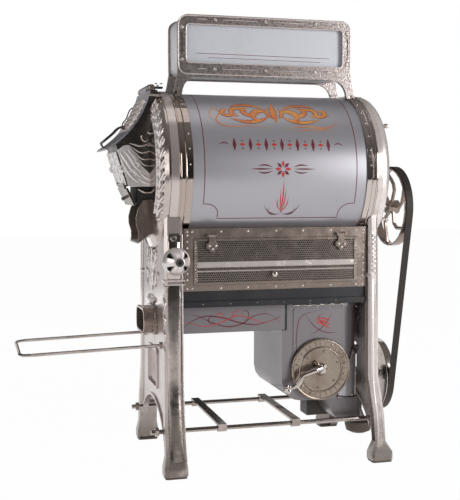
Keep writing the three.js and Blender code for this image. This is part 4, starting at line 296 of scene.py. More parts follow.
def softenEdges(obj, width, segments=2, angle=30):
    bevel = obj.modifiers.new("softEdges", "BEVEL")
    bevel.width, bevel.segments = width * mm, segments
    bevel.limit_method, bevel.angle_limit = "ANGLE", math.radians(angle)
    smooth(obj, 40)
    obj.modifiers.new("evenShade", "WEIGHTED_NORMAL").keep_sharp = True
    applyAll(obj)
    return obj


def thicken(obj, thickness, offset):
    solid = obj.modifiers.new("thick", "SOLIDIFY")
    solid.thickness, solid.offset = thickness * mm, offset
    applyAll(obj)


# gives a piece its finish and the body that it moves with, and hides the CAD node that it stands for
def settle(obj, finish, body="frame", stands=None):
    onlyThis(obj)
    bpy.ops.object.transform_apply(location=True, rotation=True, scale=True)
    repaint(obj, finish)
    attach(obj, body)
    if stands:
        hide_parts(stands)


# a CAD node's own form with its edges eased, as foundry and press leave them
def eased(node, finish, width, flat=0.6):
    onlyThis(nodes[node])
    bpy.ops.object.duplicate()
    piece = bpy.context.object
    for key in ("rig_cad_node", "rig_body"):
        if key in piece:
            del piece[key]
    piece.parent = None
    piece.name = node + "_eased"
    onlyThis(piece)
    openMesh()
    bpy.ops.mesh.remove_doubles(threshold=weld["eased"])
    bpy.ops.mesh.dissolve_limited(angle_limit=math.radians(flat))
    closeMesh()
    settle(softenEdges(piece, width), finish, bodyOfNode[node], node)


# a ring of corners, left open for editing
def ringOf(name, spots, fill):
    piece = newForm(bpy.ops.mesh.primitive_circle_add, name, vertices=len(spots), radius=0.1, fill_type=fill)
    for vertex, spot in zip(piece.data.vertices, spots):
        vertex.co = spot
    openMesh()
    return piece


def finished(piece):
    cleanSkin()
    closeMesh()
    return piece


# an outline in (along, radius) pairs turned round the axis x or y through centre
def turned(name, axis, profile, centre, steps=64):
    def place(along, u, v):
        return at(along, u, v) if axis == "x" else at(u, along, v)
    piece = ringOf(name, [place(along, centre[0] + radius, centre[1]) for along, radius in profile], "NOTHING")
    direction = (1, 0, 0) if axis == "x" else (0, 1, 0)
    bpy.ops.mesh.spin(steps=steps, angle=math.radians(360), center=place(0, *centre), axis=direction)
    return finished(piece)


# a flat outline in X and Z, pushed out along Y
def pushed(name, outline, low, high):
    piece = ringOf(name, [at(x, low, z) for x, z in outline], "NGON")
    bpy.ops.mesh.extrude_region_move(TRANSFORM_OT_translate={"value": at(0, high, 0) - at(0, low, 0)})
    return finished(piece)


# takes another solid away from a piece
def carved(obj, tool):
    change = obj.modifiers.new("carve", "BOOLEAN")
    change.operation, change.object, change.solver = "DIFFERENCE", tool, "EXACT"
    applyAll(obj)
    bpy.data.objects.remove(tool)
    return obj


def slabBetween(name, low, high):
    a, b = at(*low), at(*high)
    piece = newForm(bpy.ops.mesh.primitive_cube_add, name, size=1)
    piece.location, piece.scale = (a + b) / 2, [abs(v) for v in (b - a)]
    bpy.ops.object.transform_apply(location=True, scale=True)
    return piece


def roundedOutline(corners, radius, steps):
    count, outline = len(corners), []
    for i in range(count):
        before, corner, after = (Vector(corners[(i + k) % count]) for k in (-1, 0, 1))
        a, b = (corner + (other - corner).normalized() * radius for other in (before, after))
        for k in range(steps + 1):
            t = k / steps
            outline.append((1 - t) ** 2 * a + 2 * t * (1 - t) * corner + t ** 2 * b)
    return outline


# round strands through points, each point with its own radius in mm, all in one piece
def strands(name, lines, sides=2, steps=3, cyclic=False):
    piece = newForm(bpy.ops.curve.primitive_bezier_curve_add, name)
    curve = piece.data
    curve.splines.clear()
    curve.resolution_u = curve.render_resolution_u = steps
    curve.bevel_depth, curve.bevel_resolution, curve.use_fill_caps = mm, sides, True
    for line in lines:
        spline = curve.splines.new("BEZIER")
        spline.bezier_points.add(len(line) - 1)
        spline.use_cyclic_u = cyclic
        for knot, (spot, radius) in zip(spline.bezier_points, line):
            knot.co, knot.radius = spot, max(radius, 0.05)
            knot.handle_left_type = knot.handle_right_type = "AUTO"
    onlyThis(piece)
    bpy.ops.object.convert(target="MESH")
    piece = bpy.context.object
    openMesh()
    cleanSkin(weld["strand"])
    closeMesh()
    return smooth(piece, 50)


# points of a strand: three numbers for lift, and a radius
def carried(lift, *rows):
    return [(lift(a, b, c), radius) for a, b, c, radius in rows]


def joined(name, pieces):
    bpy.ops.object.select_all(action="DESELECT")
    for piece in pieces:
        piece.select_set(True)
    bpy.context.view_layer.objects.active = pieces[0]
    if len(pieces) > 1:
        bpy.ops.object.join()
    bpy.context.object.name = name
    return bpy.context.object


# slot of a screw as shares of its radius and rise, and the eased edge as a share of the rise
headForm = {"slotLong": 2.4, "slotWide": 0.22, "slotDeep": 0.8, "edge": 0.14, "rings": 6}


# one head is modelled and copied to every place, turned to face outwards there
def heads(name, places, radius, rise, sides=10, shape="dome"):
    if shape == "dome":
        ball = bpy.ops.mesh.primitive_uv_sphere_add
        first = newForm(ball, name, segments=sides, ring_count=headForm["rings"], radius=radius * mm)
        openMesh()
        bpy.ops.mesh.bisect(plane_co=(0, 0, 0), plane_no=(0, 0, 1), clear_inner=True, use_fill=True)
        closeMesh()
        first.scale = (1, 1, rise / radius)
        onlyThis(first)
        bpy.ops.object.transform_apply(scale=True)
        smooth(first, 60)
    else:
        bar = bpy.ops.mesh.primitive_cylinder_add
        first = newForm(bar, name, vertices=sides, radius=radius * mm, depth=rise * mm)
        first.location.z = rise * mm / 2
        bpy.ops.object.transform_apply(location=True)
        if shape == "screw":
            groove = newForm(bpy.ops.mesh.primitive_cube_add, "groove", size=1)
            groove.location.z = rise * mm
            slot = radius * headForm["slotLong"], radius * headForm["slotWide"], rise * headForm["slotDeep"]
            groove.scale = Vector(slot) * mm
            bpy.ops.object.transform_apply(scale=True)
            carved(first, groove)
        softenEdges(first, rise * headForm["edge"], 1)
    copies = []
    for spot, way in places:
        copy = first.copy()
        copy.data = first.data.copy()
        bpy.context.collection.objects.link(copy)
        copy.matrix_world = Matrix.Translation(spot) @ Vector(way).to_track_quat("Z", "Y").to_matrix().to_4x4()
        onlyThis(copy)
        bpy.ops.object.transform_apply(location=True, rotation=True)
        copies.append(copy)
    bpy.data.objects.remove(first)
    return joined(name, copies)


front, back, up, right = (0, -1, 0), (0, 1, 0), (0, 0, 1), (1, 0, 0)


# heads at plain places that all face one way
def studs(name, way, spots, radius, rise, sides, finish, body="frame", shape="dome"):
    settle(heads(name, [(at(*spot), way) for spot in spots], radius, rise, sides, shape), finish, body)


easedNodes = {
    # finish, width of the eased edges
    # the left frame takes the darker copy of pale nickel, which is painted shade
    "leg_frame_left": ("shadedLegNickel", 1.6), "leg_frame_right": ("paleNickel", 1.6),
    "tie_rod_front": ("nickel", 0.6), "tie_rod_back": ("nickel", 0.6),
    "cross_bar_left": ("nickel", 1), "cross_bar_right": ("nickel", 1),
    "front_panel": ("tanNickel", 0.4),
    "door_strap_left": ("tanNickel", 0.5), "door_strap_right": ("tanNickel", 0.5), "ash_pan": ("darkSheet", 0.8),
    # the duct, blower casing and chaff bin take the darker copy of silver paint, which is painted shade
    "suction_duct": ("shadedSilverPaint", 1.2), "duct_spout": ("tanNickel", 1.2), "fan_housing": ("shadedSilverPaint", 1.2),
    "damper_lever": ("brightNickel", 1.4), "chaff_bin": ("shadedSilverPaint", 0.8), "bin_latch": ("brightNickel", 0.6),
    "shaft_pedestal": ("castIron", 0.8), "pilot_elbow": ("nickel", 0.8),
    "hopper_body": ("darkNickel", 1.5), "hopper_lid": ("silverPaint", 1.2),
    "discharge_gate": ("nickel", 0.6), "discharge_spout": ("tanNickel", 0.8),
    "drive_pulley": ("tanNickel", 1.2), "fan_pulley": ("nickel", 1.2), "sign_casing": ("paleSheet", 0.6),
    "sign_frame_front": ("speckledNickel", 1.4), "sign_frame_back": ("speckledNickel", 1.4),
    "end_bell_left": ("nickel", 1.5),
}
plainNodes = {
    "rubber": ("foot_pad_front_left", "foot_pad_front_right", "foot_pad_back_left", "foot_pad_back_right",
        "duct_gasket"),
    "castIron": ("head_plate_right", "drum_gear", "drive_pinion", "fan_wheel", "burner_pipe"),
    "steel": ("roasting_cylinder", "drum_shaft", "counter_shaft", "fan_shaft", "damper_plate"),
    "signPaint": ("sign_panel_front", "sign_panel_back"),
    "darkSheet": ("back_panel",), "belt": ("drive_belt",), "nickel": ("cooling_pan_rail",),
}
for finish, names in plainNodes.items():
    for name in names:
        repaint(nodes[name], finish)
for name, (finish, width) in easedNodes.items():
    eased(name, finish, width)
print("cast and pressed pieces eased:", len(easedNodes))


# drum sheet, its bands and the right end casting
drumForm = {"axis": 996, "sheet": 263, "halfLength": 299, "wall": 3, "skirt": 807, "steps": 96}
drumCentre = (0, drumForm["axis"])
half, sheetRadius = drumForm["halfLength"], drumForm["sheet"]


# turned round the drum and cut off at the skirt
def overDrum(name, profile):
    piece = turned(name, "x", profile, drumCentre, drumForm["steps"])
    onlyThis(piece)
    openMesh()
    bpy.ops.mesh.bisect(plane_co=at(0, 0, drumForm["skirt"]), plane_no=(0, 0, -1), use_fill=True, clear_outer=True)
    bpy.ops.mesh.select_all(action="SELECT")
    bpy.ops.mesh.normals_make_consistent(inside=False)
    closeMesh()
    return smooth(piece, 30)


inner = sheetRadius - drumForm["wall"]
sheet = [(-half, inner), (half, inner), (half, sheetRadius), (-half, sheetRadius)]
settle(overDrum("drum_sheet", sheet), "silverPaint", stands="drum_shell")

bandForm = {
    # distance past the sheet's end, radius
    "left": [(-46, 256.4), (-0.4, 256.4), (-0.4, 267.2), (-1.2, 268), (-21, 268), (-22, 270.4),
        (-23.4, 271), (-24.8, 270.4), (-25.8, 268.6), (-39, 268.6), (-40.2, 270.4), (-42.5, 271),
        (-45, 270.4), (-46, 269.6)],
    "right": [(0.4, 256.4), (38, 256.4), (38, 269.4), (37, 270.6), (34.6, 271), (32.4, 270.6),
        (31.4, 268.6), (21.6, 268.6), (20.6, 270.4), (19.2, 271), (17.8, 270.4), (16.8, 268),
        (1.2, 268), (0.4, 267.2)],
}
# the left band takes the darker copy of bright nickel, painted shade; the right keeps bright nickel
for side, sign, finish in (("left", -1, "shadedBandNickel"), ("right", 1, "brightNickel")):
    profile = [(sign * half + along, radius) for along, radius in bandForm[side]]
    settle(overDrum(f"shell_band_{side}_fine", profile), finish, stands=f"shell_band_{side}")

bellForm = {
    "base": 355.3, "bossHeight": 868, "cups": ((-163, 1153), (-178, 830)),
    # along, radius
    "dome": [(0, 0), (0, 268), (8, 268), (17, 265.5), (27, 257), (34.5, 240), (39.5, 214), (43, 175), (45.5, 120),
        (47, 60), (48, 0)],
    "boss": [(395, 0), (395, 52), (408, 50), (415, 44), (421, 40.5), (440, 40.5), (444, 39), (448, 33), (462, 31),
        (466, 28), (466.5, 24), (466.5, 17), (440, 17), (440, 0)],
    "cap": [(396, 0), (396, 36), (408, 34), (412, 30), (420.2, 26), (421, 20), (421, 0)],
    "cup": [(380, 0), (380, 6.5), (399, 6.5), (399, 4.5), (405, 4.5), (405, 8), (413, 8), (415, 4.5), (423, 4),
        (425, 0)],
}
profile = [(bellForm["base"] + along, radius) for along, radius in bellForm["dome"]]
dome = turned("dome", "x", profile, drumCentre, 96)
counterBoss = turned("counter_boss", "x", bellForm["boss"], (0, bellForm["bossHeight"]), 48)
hubCap = turned("hub_cap", "x", bellForm["cap"], drumCentre, 32)
rightBell = smooth(joined("end_bell_right_fine", [dome, counterBoss, hubCap]), 30)
# the right end casting takes the paler nickel: painted light on the lit end
settle(rightBell, "litNickel", stands="end_bell_right")
cups = [turned("oil_cup", "x", bellForm["cup"], place, 20) for place in bellForm["cups"]]
settle(smooth(joined("bell_oil_cups", cups), 30), "brightNickel")
print("drum sheet, bands and right end made")


# a painted line: a thin strip along a flat path that lift carries onto the machine
def stripe(name, path, lift, width, rise, taper=False, closed=False):
    count = len(path)
    columns = count + 1 if closed else count
    piece = newForm(bpy.ops.mesh.primitive_grid_add, name, x_subdivisions=columns - 1, y_subdivisions=1, size=1)
    order = sorted(piece.data.vertices, key=lambda v: (round(v.co.x, 6), v.co.y))
    for i in range(columns):
        here = Vector(path[i % count])
        before = Vector(path[(i - 1) % count]) if closed or i else here
        after = Vector(path[(i + 1) % count]) if closed or i < count - 1 else here
        along = (after - before).normalized()
        side = Vector((-along.y, along.x))
        swell = math.sin(math.pi * min(max(i / (count - 1), 0.05), 0.95)) ** 0.8 if taper else 1
        order[2 * i].co = lift(*(here - side * width / 2 * swell), rise)
        order[2 * i + 1].co = lift(*(here + side * width / 2 * swell), rise)
    onlyThis(piece)
    if closed:
        openMesh()
        cleanSkin(weld["paint"])
        closeMesh()
    return piece


# many strokes of one colour in one piece: each a path and its greatest width
def painted(name, lines, lift, rise, finish, taper=True):
    pieces = [stripe(f"{name}_{i}", path, lift, width, rise, taper) for i, (path, width) in enumerate(lines)]
    settle(joined(name, pieces), finish)


def curveThrough(points, steps=7):
    spots = [Vector(p) for p in points]
    spots = [spots[0] * 2 - spots[1]] + spots + [spots[-1] * 2 - spots[-2]]
    path = []
    for p0, p1, p2, p3 in zip(spots, spots[1:], spots[2:], spots[3:]):
        for k in range(steps):
            t = k / steps
            path.append(tuple(0.5 * ((2 * p1) + (p2 - p0) * t + (2 * p0 - 5 * p1 + 4 * p2 - p3) * t ** 2
                    + (3 * p1 - p0 - 3 * p2 + p3) * t ** 3)))
    return path + [tuple(spots[-2])]


# a scroll: starts at a place and heading, its bend tightening towards the end; turn in degrees in all
def scroll(start, heading, length, turn, tighten=2, count=26):
    u, v = start
    path = [start]
    for k in range(count):
        angle = math.radians(heading + turn * ((k + 0.5) / count) ** tighten)
        u, v = u + length / count * math.cos(angle), v + length / count * math.sin(angle)
        path.append((u, v))
    return path


# rows of points and a width, or of a scroll's values and a width, as strokes
def drawn(rows):
    return [(curveThrough(points), width) for points, width in rows]


def curled(rows):
    return [(scroll(*values), width) for *values, width in rows]


def moved(lines, u, v=0, side=1):
    return [([(u + side * a, v + b) for a, b in path], width) for path, width in lines]


# the drum sheet opened flat: along X and along the arc, counted up from the front edge of the skirt
skirtTurn = math.asin((drumForm["axis"] - drumForm["skirt"]) / sheetRadius)


def onDrum(x, arc, rise):
    turn = skirtTurn - arc / sheetRadius
    radius = sheetRadius + rise
    return at(x, -radius * math.cos(turn), drumForm["axis"] - radius * math.sin(turn))


# a flat upright face drawn in X and Z; out is the way it rises, mirror -1 turns it to be seen from the back
def onFace(plane, out=-1, mirror=1):
    return lambda x, z, rise: at(mirror * x, plane + out * rise, z)


borderForm = {"side": 262, "inner": 250, "corner": 210, "foot": 43, "notch": 60, "step": 99,
        "head": 606, "ledge": 6, "drop": 8, "sideSteps": 40, "footSteps": 8, "width": 2.7, "rise": 0.3}
b = borderForm
corner = [(b["inner"] - (b["inner"] - b["corner"]) * math.sin(math.radians(t)),
        b["step"] - (b["step"] - b["notch"]) * (1 - math.cos(math.radians(t)))) for t in range(0, 91, 10)]
edge = [(b["side"], b["head"] - k * (b["head"] - b["step"]) / b["sideSteps"]) for k in range(b["sideSteps"] + 1)]
bottom = [(b["corner"] - k * b["corner"] / b["footSteps"], b["foot"]) for k in range(b["footSteps"])]
half = edge + [(b["inner"] + b["ledge"], b["step"])] + corner + [(b["corner"], b["foot"] + b["drop"])] + bottom
whole = half + [(0, b["foot"])] + [(-u, v) for u, v in half[::-1]]
settle(stripe("drum_border_line", whole, onDrum, b["width"], b["rise"], closed=True), "wineLine")

# leaf ornament in the middle of the drum, drawn round its own middle
leafForm = {
    "middle": -4, "height": 428, "edging": 5,
    # start, heading, length, turn, tightening, width
    "scrolls": [((16, -6), 35, 118, -250, 1.7, 17), ((50, -2), -35, 112, 250, 1.7, 15),
        ((92, 6), 40, 108, -255, 1.7, 15), ((132, -4), -40, 92, 250, 1.7, 12)],
    # points, width
    "sides": [([(20, 8), (64, 36), (112, 42), (150, 30)], 11), ([(14, -14), (58, -40), (108, -44), (158, -30)], 11),
        ([(160, 16), (176, 4), (192, -14)], 8)],
    "centre": [([(0, -46), (-3, 0), (0, 52)], 20), ([(-12, -30), (-26, -6), (-20, 26)], 9),
        ([(12, -30), (26, -6), (20, 26)], 9)],
    "swashes": [([(-214, -42), (-226, -14), (-208, 20), (-190, -2), (-206, -40), (-176, -64), (-96, -62),
        (-30, -70)], 4.5), ([(26, -72), (100, -62), (172, -66), (222, -40)], 4.5),
        ([(60, -80), (128, -74), (196, -74)], 3.5)],
}
middle, level = leafForm["middle"], leafForm["height"]
rightLeaves = curled(leafForm["scrolls"]) + drawn(leafForm["sides"])
leaves = [line for side in (1, -1) for line in moved(rightLeaves, middle, level, side)]
leaves += moved(drawn(leafForm["centre"]), middle, level)
edging = [(path, width + leafForm["edging"]) for path, width in leaves]
painted("drum_leaf_edging", edging, onDrum, 0.2, "wineLine")
painted("drum_leaf_ornament", leaves, onDrum, 0.4, "orangeLeaf")
painted("drum_swash_lines", moved(drawn(leafForm["swashes"]), middle, level), onDrum, 0.35, "orangeLeaf")

# a row of lozenges and bars, and a rosette with three strokes on each side
markForm = {
    "middle": 2, "row": 297, "pitch": 27, "rosette": 216, "rays": (7, 17, 27), "rayWidth": 11,
    # half length and width of a lozenge
    "lying": (9, 11), "upright": (21, 13),
    # feet of the short bars, their heights and width
    "bars": ((-16, 10), (0, 3, 6), 6), "ends": ([(180, 0), (196, 6), (214, 0)], 4),
    # distance up and length of the strokes beside the rosette; their start and width
    "beside": ((0, 74), (13, 50), (-13, 50)), "besideStart": 36, "besideWidth": 5,
}
row, rosette = markForm["row"], markForm["rosette"]
wine, red = [], []
for k in range(-6, 7):
    u = k * markForm["pitch"]
    long, wide = markForm["lying" if k % 2 else "upright"]
    if k % 2:
        red.append(([(u - long, row), (u, row), (u + long, row)], wide))
        feet, heights, width = markForm["bars"]
        wine += [([(u, row + v + height) for height in heights], width) for v in feet]
    else:
        wine.append(([(u, row - long), (u, row), (u, row + long)], wide))
points, width = markForm["ends"]
wine += drawn([([(side * a, row + v) for a, v in points], width) for side in (-1, 1)])
for k in range(8):
    angle = math.radians(k * 45)
    ray = [(r * math.cos(angle), rosette + r * math.sin(angle)) for r in markForm["rays"]]
    (wine if k % 2 else red).append((ray, markForm["rayWidth"]))
start = markForm["besideStart"]
wine += drawn([([(side * start, rosette + off * 0.5), (side * (start + long / 2), rosette + off),
        (side * (start + long), rosette + off * 0.8)], markForm["besideWidth"])
        for side in (-1, 1) for off, long in markForm["beside"]])
painted("drum_wine_marks", moved(wine, markForm["middle"]), onDrum, 0.35, "wineLine")
painted("drum_red_marks", moved(red, markForm["middle"]), onDrum, 0.45, "redLine")

# the small fan of brush strokes near the lower edge
fanForm = {
    "middle": 6, "root": 64,
    # side, spread, reach, height of the root, width
    "strokes": ((0, 0, 112, 0, 4.6), (1, 9, 84, 3, 3.8), (-1, 9, 84, 3, 3.8), (1, 20, 54, 6, 3.8),
        (-1, 20, 54, 6, 3.8)),
    # up or down, height, width, the scroll's own values
    "curls": ((-1, 62, 3.6, ((4, 0), 20, 62, -150, 1.8)), (1, 58, 3.2, ((10, 0), 8, 66, 70, 1.5))),
}
fan = drawn([([(side * 1.5, root), (side * out * 0.75, reach * 0.5), (side * out, reach)], width)
        for side, out, reach, root, width in fanForm["strokes"]])
curls = [([(fanForm["middle"] + side * u, height + way * v) for u, v in scroll(*values)], width)
        for side in (-1, 1) for way, height, width, values in fanForm["curls"]]
painted("drum_fan_strokes", moved(fan, fanForm["middle"], fanForm["root"]), onDrum, 0.35, "redLine")
painted("drum_fan_curls", curls, onDrum, 0.45, "wineLine")
print("drum sheet painted")

# two plain lines on each sign panel
signLineForm = {"plane": 66.2, "rise": 0.25, "lines": (  # start, step, count, width
        ((-244, 1393.2), (20, 0.15), 25, 1.8), ((-202, 1379.8), (20.2, 0.18), 21, 1.6))}
signLines = [([(u + k * across, v - k * down) for k in range(count)], width)
        for (u, v), (across, down), count, width in signLineForm["lines"]]
for label, side in (("front", -1), ("back", 1)):
    lift = onFace(side * signLineForm["plane"], side, -side)
    painted(f"sign_lines_{label}", signLines, lift, signLineForm["rise"], "wineLine", taper=False)

# interlaced lines on the painted duct
ductForm = {
    "plane": -172,
    "wine": [
        ([(-318, 470), (-290, 494), (-240, 512), (-180, 505), (-120, 486), (-60, 478), (0, 492), (28, 506)], 4.4),
        ([(-310, 522), (-262, 512), (-212, 488), (-160, 474), (-112, 482), (-72, 506), (-20, 512), (26, 480)], 4)],
    "wineScrolls": [((-196, 506), 150, 74, 300, 1.6, 3), ((-104, 492), 30, 70, 270, 1.6, 3)],
    "red": [
        ([(-322, 500), (-280, 486), (-230, 478), (-178, 492), (-130, 510), (-84, 500), (-40, 484), (20, 496)], 3.2),
        ([(-150, 500), (-140, 520), (-118, 530)], 2.8)],
    "redScrolls": [((-178, 492), 70, 66, 260, 1.5, 2.8)],
}
# and on the blower casing: a corner line, two arcs and a short brush fan
casingForm = {
    "plane": -167.5,
    "wine": [([(92, 330), (84, 372), (84, 430), (92, 486), (118, 508), (160, 514)], 3),
        ([(118, 500), (150, 462), (190, 440), (236, 438)], 3.4),
        ([(128, 432), (164, 448), (196, 478), (214, 508)], 3)],
    "wineScrolls": [((196, 478), 200, 62, -220, 1.6, 2.8)],
    "red": [([(152, 478 + k * 8), (178 + k * 4, 470 + k * 9), (206 + k * 2, 452 + k * 14)], 7 - k)
        for k in range(3)],
    "redScrolls": [],
}
for piece, form, ending in (("duct", ductForm, "lines"), ("casing", casingForm, "strokes")):
    lift = onFace(form["plane"])
    painted(f"{piece}_wine_lines", drawn(form["wine"]) + curled(form["wineScrolls"]), lift, 0.3, "wineLine")
    painted(f"{piece}_red_{ending}", drawn(form["red"]) + curled(form["redScrolls"]), lift, 0.45, "redLine")

# the casing's front and its round right corner opened flat: along X, then along the bend
cornerForm = {"start": 258, "radius": 62, "face": -165}


def onCorner(u, z, rise):
    start, radius = cornerForm["start"], cornerForm["radius"]
    turn = max(u - start, 0) / radius
    return at(min(u, start) + (radius + rise) * math.sin(turn),
            cornerForm["face"] + radius - (radius + rise) * math.cos(turn), z)


dotForm = {"columns": (300, 312), "heights": (522, 519, 516), "pitch": 12, "count": 15, "width": 4, "rise": 0.4}
dots = [([(u, v - k * dotForm["pitch"]) for v in dotForm["heights"]], dotForm["width"])
        for k in range(dotForm["count"]) for u in dotForm["columns"]]
painted("casing_dots", dots, onCorner, dotForm["rise"], "redLine")
print("lines painted")

# fire door: a frame with a finely holed sheet, a bright strip and a thin bar across it, and a near-black sheet behind
# that paints the shade inside
doorForm = {
    "low": (-287.7, 620.4), "high": (287.7, 773.6), "front": -211, "back": -204.6, "window": (275, 629, 765),
    # front, low, high, edge
    "bars": ((-210.2, 678, 696, 0.6), (-209.6, 664, 667, 0.5)),
    "pitch": 6.9, "hole": 2.55, "sheet": -207.6, "sheetThick": 0.9,
}
d = doorForm
reach, low, high = d["window"]
leaf = slabBetween("door_leaf", (d["low"][0], d["front"], d["low"][1]), (d["high"][0], d["back"], d["high"][1]))
carved(leaf, slabBetween("window", (-reach, -220, low), (reach, -200, high)))
settle(softenEdges(leaf, 0.7), "tanNickel", "door", "fire_door")
bars = [softenEdges(slabBetween("bar", (-reach - 0.5, y, foot), (reach + 0.5, -206, head)), width)
        for y, foot, head, width in d["bars"]]
settle(joined("door_bars", bars), "paleNickel", "door")

# one cell of the sheet, an eight-sided hole in its square, repeated over the window
pitch, hole = d["pitch"], d["hole"]
cell = newForm(bpy.ops.mesh.primitive_circle_add, "door_screen", vertices=8, radius=hole * mm, fill_type="NOTHING")
openMesh()
bpy.ops.mesh.extrude_region_move(TRANSFORM_OT_translate={"value": (0, 0, 0)})
bpy.ops.transform.resize(value=(pitch / 2 / hole, pitch / 2 / hole, 1))
closeMesh()
for vertex in cell.data.vertices:
    if vertex.co.length > hole * 1.2 * mm:  # the outer ring goes out to the square
        wide = max(abs(vertex.co.x), abs(vertex.co.y))
        vertex.co = [round(part / wide) * pitch / 2 * mm if abs(part) > wide * 0.3 else 0 for part in vertex.co]
across, rows = int(2 * reach / pitch), int((high - low) / pitch)


def repeated(piece, count, way):
    repeat = piece.modifiers.new("repeat", "ARRAY")
    repeat.count, repeat.use_relative_offset, repeat.use_constant_offset = count, False, True
    repeat.constant_offset_displace, repeat.use_merge_vertices = way, True
    repeat.merge_threshold = weld["screen"]
    applyAll(piece)


repeated(cell, across + 1, (pitch * mm, 0, 0))
bpy.ops.object.duplicate()
nextRow = bpy.context.object
nextRow.location = (-pitch / 2 * mm, pitch * mm, 0)
cell = joined("door_screen", [cell, nextRow])
repeated(cell, rows // 2 + 1, (0, 2 * pitch * mm, 0))
cell.rotation_euler = (math.radians(90), 0, 0)
cell.location = at(-(across * pitch) / 2, d["sheet"], (low + high) / 2 - rows * pitch / 2)
onlyThis(cell)
bpy.ops.object.transform_apply(location=True, rotation=True)
thicken(cell, d["sheetThick"], 0)
settle(cell, "screenNickel", "door")
# painted shade: a near-black sheet behind the screen stands for the shade inside the door
shade = slabBetween("door_inside_shade", (-reach - 4, -206.2, low - 4), (reach + 4, -204.7, high + 4))
settle(shade, "darkSheet", "door")
print("door made")

# rivets, and the door's knob
rivetForm = {
    # places across, heights or (foot, head, step), distance from the middle, head (radius, rise, sides)
    "strap": {"across": (-226, 226), "step": 11, "heights": (739, 750), "plane": -220.5, "head": (4.4, 3, 10)},
    "panel": {"across": (-309, -292.5, -194.7, -102.2, -4.7, 90.9, 191.6, 284, 309), "heights": (796, 609),
        "plane": -208.4, "ends": (-309, 309), "climb": (638, 790, 21), "head": (3.8, 2.6, 10)},
    "door": {"across": (-281.6, 281.6), "climb": (632, 768, 10), "plane": -210.9, "head": (2.1, 1.3, 8)},
    "pan": {"start": -256.7, "pitch": 93.4, "count": 7, "plane": 210.8, "height": 557, "head": (3.4, 2.2)},
    "casing": {"top": (64, 305, 48), "topAt": (-167.4, 527.5), "foot": (150, 198, 246, 292),
        "footAt": (-165, 215.5), "head": (3.4, 2.2, 10)},
    # Y, radius
    "knob": [(-208.9, 0), (-208.9, 6), (-213, 5), (-217, 5.2), (-219, 9), (-222, 10.5), (-225.5, 9.6),
        (-227.8, 6.5), (-228.7, 3), (-228.8, 0)],
    "knobCentre": (-12, 652),
}
form = rivetForm["strap"]
places = [(x + form["step"] * k, form["plane"], form["heights"][abs(k)]) for x in form["across"] for k in (-1, 0, 1)]
studs("strap_rivets", front, places, *form["head"], "paleNickel", "door")
knob = smooth(turned("door_knob_fine", "y", rivetForm["knob"], rivetForm["knobCentre"], 28), 50)
settle(knob, "brightNickel", "door", "door_knob")
form = rivetForm["panel"]
places = [(x, form["plane"], z) for x in form["across"] for z in form["heights"]]
places += [(x, form["plane"], z) for z in range(*form["climb"]) for x in form["ends"]]
studs("panel_rivets", front, places, *form["head"], "paleNickel")
form = rivetForm["door"]
places = [(x, form["plane"], z) for x in form["across"] for z in range(*form["climb"])]
studs("door_rivets", front, places, *form["head"], "paleNickel", "door")
form = rivetForm["pan"]
rivets = [(at(form["start"] + k * form["pitch"], way[1] * form["plane"], form["height"]), way)
        for way in (front, back) for k in range(form["count"])]
settle(heads("pan_rivets", rivets, *form["head"]), "darkNickel")
form = rivetForm["casing"]
places = [(x, *form["topAt"]) for x in range(*form["top"])] + [(x, *form["footAt"]) for x in form["foot"]]
studs("casing_rivets", front, places, *form["head"], "nickel")
print("rivets and knob set")

# sign frames: screws, and sunk lozenges with a thin inlay between them
signForm = {
    "face": 80.5, "sunk": 3, "inlay": 78.6, "bead": 80.2, "heads": 80.4, "end": 268, "foot": (318, 1258.5),
    # height, places of the screws along the rail
    "rails": ((1505.3, (-181.5, -3, 178.5)), (1340.3, (-184, -3, 178))),
    "posts": (296.5, (1392, 1455), (1370, 1477)),
    # half width, point and shortening of a groove; distance and thicknesses of an inlay's ends and middle
    "groove": (3.3, 14, 11, -8), "inlayEnd": 26, "inlayThick": (1.4, 2.2),
    # left, right, foot and head, radius of the corners, thickness
    "beads": (((-307.5, 307.5, 1321.5, 1515.6), 34, 2.4), ((-281, 281, 1359, 1488), 14, 2)),
}
form = signForm
runs = []
for z, places in form["rails"]:
    edges = [-form["end"], *places, form["end"]]
    runs += [(a, b, z) for a, b in zip(edges, edges[1:])]
post, (low, high), postScrews = form["posts"]


def lozenge(u, v, half, upright, sign):
    wide, tip, short, shortPost = form["groove"]
    half -= shortPost if upright else short
    flank = half - tip
    points = [(-half, 0), (-flank, wide), (flank, wide), (half, 0), (flank, -wide), (-flank, -wide)]
    outline = [(u + b, v + a) if upright else (u + a, v + b) for a, b in points]
    return pushed("groove", outline, sign * (form["face"] - form["sunk"]), sign * form["face"] * 1.1)


